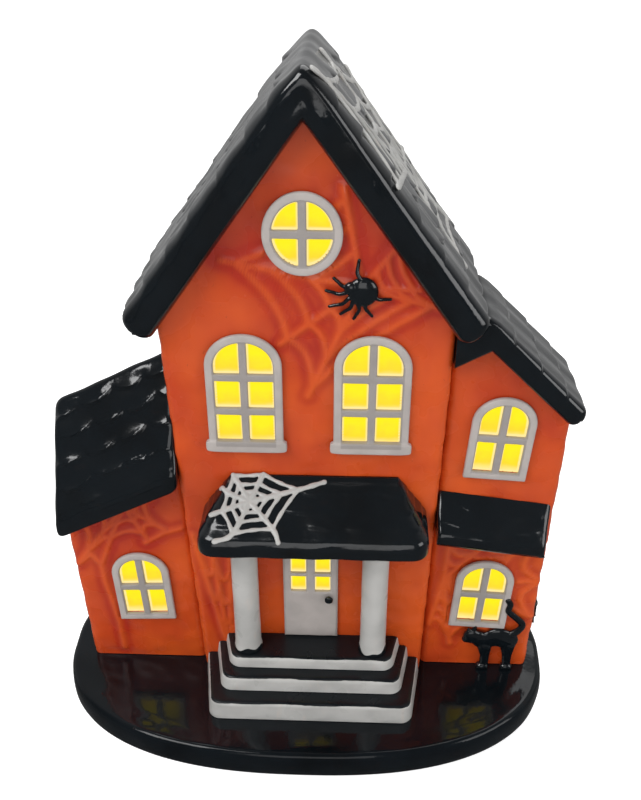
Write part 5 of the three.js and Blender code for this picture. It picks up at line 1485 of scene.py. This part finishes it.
class HOUSE_OT_door(bpy.types.Operator):
    """Build the front door with its four lights, its knob and the lit pane behind it"""

    bl_idname = "haunted_house.door"
    bl_label = "Door"

    def execute(self, context):
        door = DOOR_LIGHTS
        low, high = box_of("front_door")
        pitch = door["width"] + door["bar"]
        lights = [
            (door["x"] + side * pitch / 2, door["bottom"] + row * (door["height"] + door["rail"]))
            for side in (-1, 1)
            for row in (0, 1)
        ]
        x = np.linspace(low[0], high[0], 96)[None, :]
        z = np.linspace(low[2], high[2], 200)[:, None]
        x, z = x + 0 * z, z + 0 * x
        gap = np.full(x.shape, 1e6)
        for middle, bottom in lights:
            out_x = np.abs(x - middle) - door["width"] / 2
            out_z = np.abs(z - bottom - door["height"] / 2) - door["height"] / 2
            gap = np.minimum(gap, np.maximum(out_x, out_z))
        border = np.minimum(np.minimum(x - low[0], high[0] - x), np.minimum(z - low[2], high[2] - z))
        rounding = 0.6 * smooth(0.9, 0.0, border) + 0.5 * smooth(0.8, -0.2, gap)
        sunk = 0.5 * (gap[:-1, :-1] + gap[1:, 1:])
        front = low[1] + rounding + 0.08 * ripple(x, z, 9.0)
        leaf = np.stack([x, np.maximum(front, low[1]), z], axis=-1)
        back = np.stack([x, np.full_like(x, high[1]), z], axis=-1)
        parts = [shell(leaf, back, sunk > 0, False)]
        make_piece("front_door", parts, "frame_glaze", sharp=50)

        low, high = box_of("door_knob")
        middle, half = (low + high) / 2, (high - low) / 2
        stem = tube([middle + (0, 1.0, 0), middle + (0, 0.2, 0)], [0.9], (1, 0, 0))
        ball = bead(middle - (0, 0.25, 0), (half[0], 0.85, half[2]), 0.85)
        make_piece("door_knob", [stem, ball], "figure_glaze", (0.14, 3))

        low, high = box_of("pane_door")
        x = np.linspace(low[0], high[0], 40)[None, :]
        z = np.linspace(low[2], high[2], 44)[:, None]
        sheet = lambda y: np.stack([x + 0 * z, np.full((44, 40), y), z + 0 * x], axis=-1)
        part = shell(sheet(low[1]), sheet(high[1]), np.ones((43, 39), dtype=bool), False)

        def paint(points):
            near = np.full(len(points), -1e6)
            low_share = np.ones(len(points))
            for middle, bottom in lights:
                in_x = door["width"] / 2 - np.abs(points[:, 0] - middle)
                in_z = door["height"] / 2 - np.abs(points[:, 2] - bottom - door["height"] / 2)
                inside = np.minimum(in_x, in_z)
                share = 1.0 - (points[:, 2] - bottom) / door["height"]
                low_share = np.where(inside > near, share, low_share)
                near = np.maximum(near, inside)
            return {"low": low_share, "rim": smooth(0.9, 0.0, near)}

        # The door's pane glows by itself as painted light for the lamps inside.
        make_piece("pane_door", [part], "amber_film", paint=paint)
        return {"FINISHED"}


# Figures

GABLE_SPIDER_X, GABLE_SPIDER_Z = 21.8, 204.4
END_SPIDER_Z = 44.0
CAT_X = 85.0
SPIDER_LEGS = [
    (-1.0, 11.5),
    (-9.7, 4.7),
    (-12.4, 0.0),
    (-11.2, -6.1),
    (-7.2, -9.0),
    (-2.5, -10.8),
    (4.0, -9.7),
    (10.4, -3.1),
]


def spider_parts(scale, place):
    """A spider lying on a wall: two beads and eight bent legs, put in place by a function.

    Points are (across, up, off the wall) from its middle. Each leg runs from the body over a knee near two
    thirds of its length to a tip on the wall.
    """
    body = bead((0.6, 0.0, 1.4), (5.5, 5.6, 2.2))
    head = bead((-3.6, 1.4, 1.7), (2.6, 2.5, 1.7))
    parts = [body, head]
    for tip in SPIDER_LEGS:
        tip = np.array(tip, dtype=float)
        side = np.array([tip[1], -tip[0]]) / np.linalg.norm(tip)
        bend = 0.9 * np.sign(tip[0] + 0.1)
        knee = tip * 0.62 + side * bend
        shin = tip * 0.84 + side * bend * 0.5
        path = [(*tip * 0.2, 1.4), (*tip * 0.4, 2.0), (*knee, 1.5), (*shin, 0.8), (*tip, 0.55)]
        curve = smoothed(path, 6)
        parts.append(tube(curve, [0.85, 0.8, 0.7, 0.62], (0.02, 0.03, 1.0), 0.9, 10))
    return [part._replace(points=place(part.points * scale)) for part in parts]


class HOUSE_OT_figures(bpy.types.Operator):
    """Build the two spiders and the cat"""

    bl_idname = "haunted_house.figures"
    bl_label = "Spiders and cat"

    def execute(self, context):
        def on_gable(p):
            return np.column_stack([GABLE_SPIDER_X + p[:, 0], HOUSE_FACE - p[:, 2], GABLE_SPIDER_Z + p[:, 1]])

        parts = spider_parts(1.0, on_gable)
        make_piece("wall_spider", parts, "figure_glaze", (0.2, 3))

        def on_end(p):
            z = END_SPIDER_Z + p[:, 1]
            return np.column_stack([wing_right(z) + SEAT + p[:, 2], p[:, 0], z])

        parts = spider_parts(0.8, on_end)
        make_piece("side_spider", parts, "figure_glaze", (0.17, 3))
        self.cat()
        return {"FINISHED"}

    def cat(self):
        middle = WING_FACE - 2.0
        at = lambda x, z, y=0.0: (CAT_X + x, middle + y, BASE_TOP + z)
        facing = (0.0, 1.0, 0.0)

        def limb(points, radii, half=1.9):
            flat = half / max(radii)
            return tube(smoothed([at(*point) for point in points], 5), radii, facing, min(1.0, flat), 20)

        parts = [
            limb([(-5.4, 17.4), (-1.5, 18.2), (2.2, 19.4), (6.2, 17.9)], [4.2, 4.7, 5.4, 5.2]),
            bead(at(-9.6, 19.8), (4.0, 1.9, 3.9), 0.9),
            bead(at(-11.8, 18.1), (2.2, 1.5, 1.9)),
            limb([(-6.5, 18.6), (-8.8, 19.4)], [4.0, 3.8]),
            limb([(-9.4, 22.6), (-8.3, 25.6)], [1.5, 0.7], 1.0),
            limb([(-11.6, 21.9), (-11.4, 24.2)], [1.1, 0.6], 0.9),
            limb([(-3.4, 14.0), (-2.8, 8.0), (-2.8, 3.0)], [3.4, 2.2, 2.1]),
            bead(at(-3.4, 1.5), (2.9, 1.9, 1.6), 0.8),
            limb([(7.0, 15.0), (7.2, 8.5), (7.4, 3.0)], [3.6, 2.3, 2.0]),
            bead(at(7.4, 1.5), (2.8, 1.9, 1.6), 0.8),
            limb(
                [(8.0, 21.3), (11.2, 24.5), (12.0, 28.0), (8.4, 32.0), (5.2, 35.5), (5.6, 39.3), (4.4, 41.6)],
                [2.0, 1.6, 1.6, 1.55, 1.5, 1.5, 1.35],
                1.55,
            ),
        ]
        piece = make_piece("cat", parts, "figure_glaze", (0.3, 4))
        points = points_of(piece.data)
        points[:, 2] = np.maximum(points[:, 2], FOOTING)
        points[:, 1] = np.minimum(points[:, 1], WING_FACE)
        piece.data.vertices.foreach_set("co", (points * MM).ravel())
        piece.data.update()


# Light module and feet

MODULE_FINISHES = {
    "foot_": "rubber_feet",
    "bottom_housing": "housing_plastic",
    "battery_cover": "housing_plastic",
    "switch_body": "housing_plastic",
    "timer_chip": "housing_plastic",
    "switch_slider": "switch_plastic",
    "cell_": "cell_jacket",
    "contact_": "contact_steel",
    "circuit_board": "board_laminate",
    "led_": "led_lens",
    "wire_black": "wire_black",
    "wire_red": "wire_red",
    "wire_yellow": "wire_yellow",
}


class HOUSE_OT_module(bpy.types.Operator):
    """Give the light module and the feet their finishes"""

    bl_idname = "haunted_house.module"
    bl_label = "Light module"

    def execute(self, context):
        for name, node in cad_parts.items():
            finish = next((f for start, f in MODULE_FINISHES.items() if name.startswith(start)), None)
            if not finish:
                continue
            for place in node.material_slots:
                place.material = finish_of(finish)
            if not node.material_slots:
                raise RuntimeError("No material slot on " + name)
        return {"FINISHED"}


# Stage, with the lamps and the camera placed in metres and turned in degrees

LAMP_TARGET = (0.0, 0.0, 0.13)
CAMERA_PLACE = (0.017607, -0.309359, 0.334661)
CAMERA_TURN = (59.0, 0.0, 2.0)
LENS, SENSOR = 40.545, 36.0


class HOUSE_OT_stage(bpy.types.Operator):
    """Set the pale floor, the soft studio light and the camera"""

    bl_idname = "haunted_house.stage"
    bl_label = "Stage"

    def execute(self, context):
        self.floor()
        self.world(context.scene)
        self.lamps(context.scene.studio_light)
        self.camera(context.scene)
        context.scene.view_settings.view_transform = "Standard"
        return {"FINISHED"}

    def floor(self):
        turn = np.linspace(0.0, 2 * np.pi, 96, endpoint=False)
        radii = (120.0, 400.0, 1200.0, 4000.0)
        top = np.stack([np.column_stack([r * np.cos(turn), r * np.sin(turn), 0 * turn]) for r in radii])
        low = top[::-1] - (0.0, 0.0, 10.0)
        rings = np.concatenate([top, low])
        mesh = mesh_from("floor", [ringed(rings)])
        floor = bpy.data.objects.new("floor", mesh)
        bpy.context.scene.collection.objects.link(floor)
        mesh.materials.append(self.floor_finish())
        floor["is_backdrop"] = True

    def floor_finish(self):
        """White to the camera, keeping the object's shadow, and to reflections white behind it and dim
        in front, as in a light tent that is open towards the camera."""
        finish = Finish("floor", Roughness=0.9, Specular_IOR_Level=0.1, Emission_Strength=1.0)
        glossy = finish.ray("Is Glossy Ray")
        place = finish.node("ShaderNodeSeparateXYZ", {}, {"Vector": finish.place()}, "Y")
        behind = place.between(-0.12, 0.3, 0.02, 0.3)
        glow = finish.ray("Is Camera Ray") * 0.8 + glossy * behind
        finish.set(Base_Color=finish.mix(glossy, (0.8, 0.8, 0.8), (0.06, 0.06, 0.06)))
        finish.set(Emission_Color=finish.mix(glow, (0.0, 0.0, 0.0), (1.0, 1.0, 1.0)))
        return finish.material

    def world(self, scene):
        """White to the camera, even light to surfaces, and bright only behind the object to reflections."""
        world = bpy.data.worlds.new("studio")
        world.use_nodes = True
        scene.world = world
        nodes = Nodes(world.node_tree)
        place = nodes.node("ShaderNodeTexCoord", {}, {}, "Generated")
        depth = nodes.node("ShaderNodeSeparateXYZ", {}, {"Vector": place}, "Y")
        mirrored = depth.between(-0.25, 0.35, 0.1, 0.44)
        even = 0.48
        lit = nodes.ray("Is Glossy Ray") * (mirrored - even) + even
        seen = nodes.ray("Is Camera Ray") + nodes.ray("Is Transmission Ray")
        background = nodes.tree.nodes["Background"].inputs
        nodes.connect(background["Color"], (1.0, 1.0, 1.0))
        nodes.connect(background["Strength"], seen * (1.0 - lit) + lit)

    def lamps(self, light):
        def lamp(name, power, place, size, shine=0.4):
            data = bpy.data.lights.new(name, "AREA")
            data.energy = power
            data.size = size
            data.specular_factor = shine
            thing = bpy.data.objects.new(name, data)
            bpy.context.scene.collection.objects.link(thing)
            thing.location = place
            reach = np.array(LAMP_TARGET) - np.array(place)
            level = np.hypot(reach[0], reach[1])
            thing.rotation_euler = (
                np.pi / 2 + np.arctan2(reach[2], level),
                0.0,
                np.arctan2(-reach[0], reach[1]),
            )

        lamp("key_lamp", light.key, (-0.6, -0.6, 1.0), 0.6)
        lamp("fill_lamp", light.fill, (0.85, -0.5, 0.45), 0.5)
        lamp("front_lamp", light.front, (0.0, -1.2, 0.4), 0.6, 0.08)
        lamp("top_lamp", light.top, (0.1, 0.45, 1.0), 0.8)

    def camera(self, scene):
        data = bpy.data.cameras.new("camera")
        data.lens = LENS
        data.sensor_width = SENSOR
        camera = bpy.data.objects.new("camera", data)
        scene.collection.objects.link(camera)
        camera.location = CAMERA_PLACE
        camera.rotation_euler = tuple(np.radians(CAMERA_TURN))
        scene.camera = camera


class HOUSE_PT_panel(bpy.types.Panel):
    """Shows the settings and the steps of the build in the sidebar"""

    bl_label = "Haunted House"
    bl_idname = "HOUSE_PT_panel"
    bl_space_type = "VIEW_3D"
    bl_region_type = "UI"
    bl_category = "Haunted House"

    def draw(self, context):
        for group in GROUPS:
            settings = getattr(context.scene, group)
            box = self.layout.box()
            for name in type(settings).__annotations__:
                box.prop(settings, name)
        for operator in OPERATORS:
            self.layout.operator(operator.bl_idname)


OPERATORS = (
    HOUSE_OT_base,
    HOUSE_OT_walls,
    HOUSE_OT_roofs,
    HOUSE_OT_porch_roof,
    HOUSE_OT_roof_webs,
    HOUSE_OT_steps,
    HOUSE_OT_columns,
    HOUSE_OT_windows,
    HOUSE_OT_door,
    HOUSE_OT_figures,
    HOUSE_OT_module,
    HOUSE_OT_stage,
)
GROUPS = {"house_sizes": HouseSizes, "house_colours": HouseColours, "studio_light": StudioLight}


def register():
    for group in GROUPS.values():
        bpy.utils.register_class(group)
    for kind in OPERATORS + (HOUSE_PT_panel,):
        bpy.utils.register_class(kind)
    for name, group in GROUPS.items():
        setattr(bpy.types.Scene, name, bpy.props.PointerProperty(type=group))


def unregister():
    for name in GROUPS:
        delattr(bpy.types.Scene, name)
    for kind in (HOUSE_PT_panel,) + OPERATORS[::-1]:
        bpy.utils.unregister_class(kind)
    for group in GROUPS.values():
        bpy.utils.unregister_class(group)


def main():
    register()
    for operator in OPERATORS:
        family, name = operator.bl_idname.split(".")
        getattr(getattr(bpy.ops, family), name)()
    plain = lambda bounds: [[float(v) for v in corner] for corner in bounds]
    {"solids": plain(SOLID_BOUNDS), "scene": plain(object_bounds())}


if __name__ == "__main__":
    main()
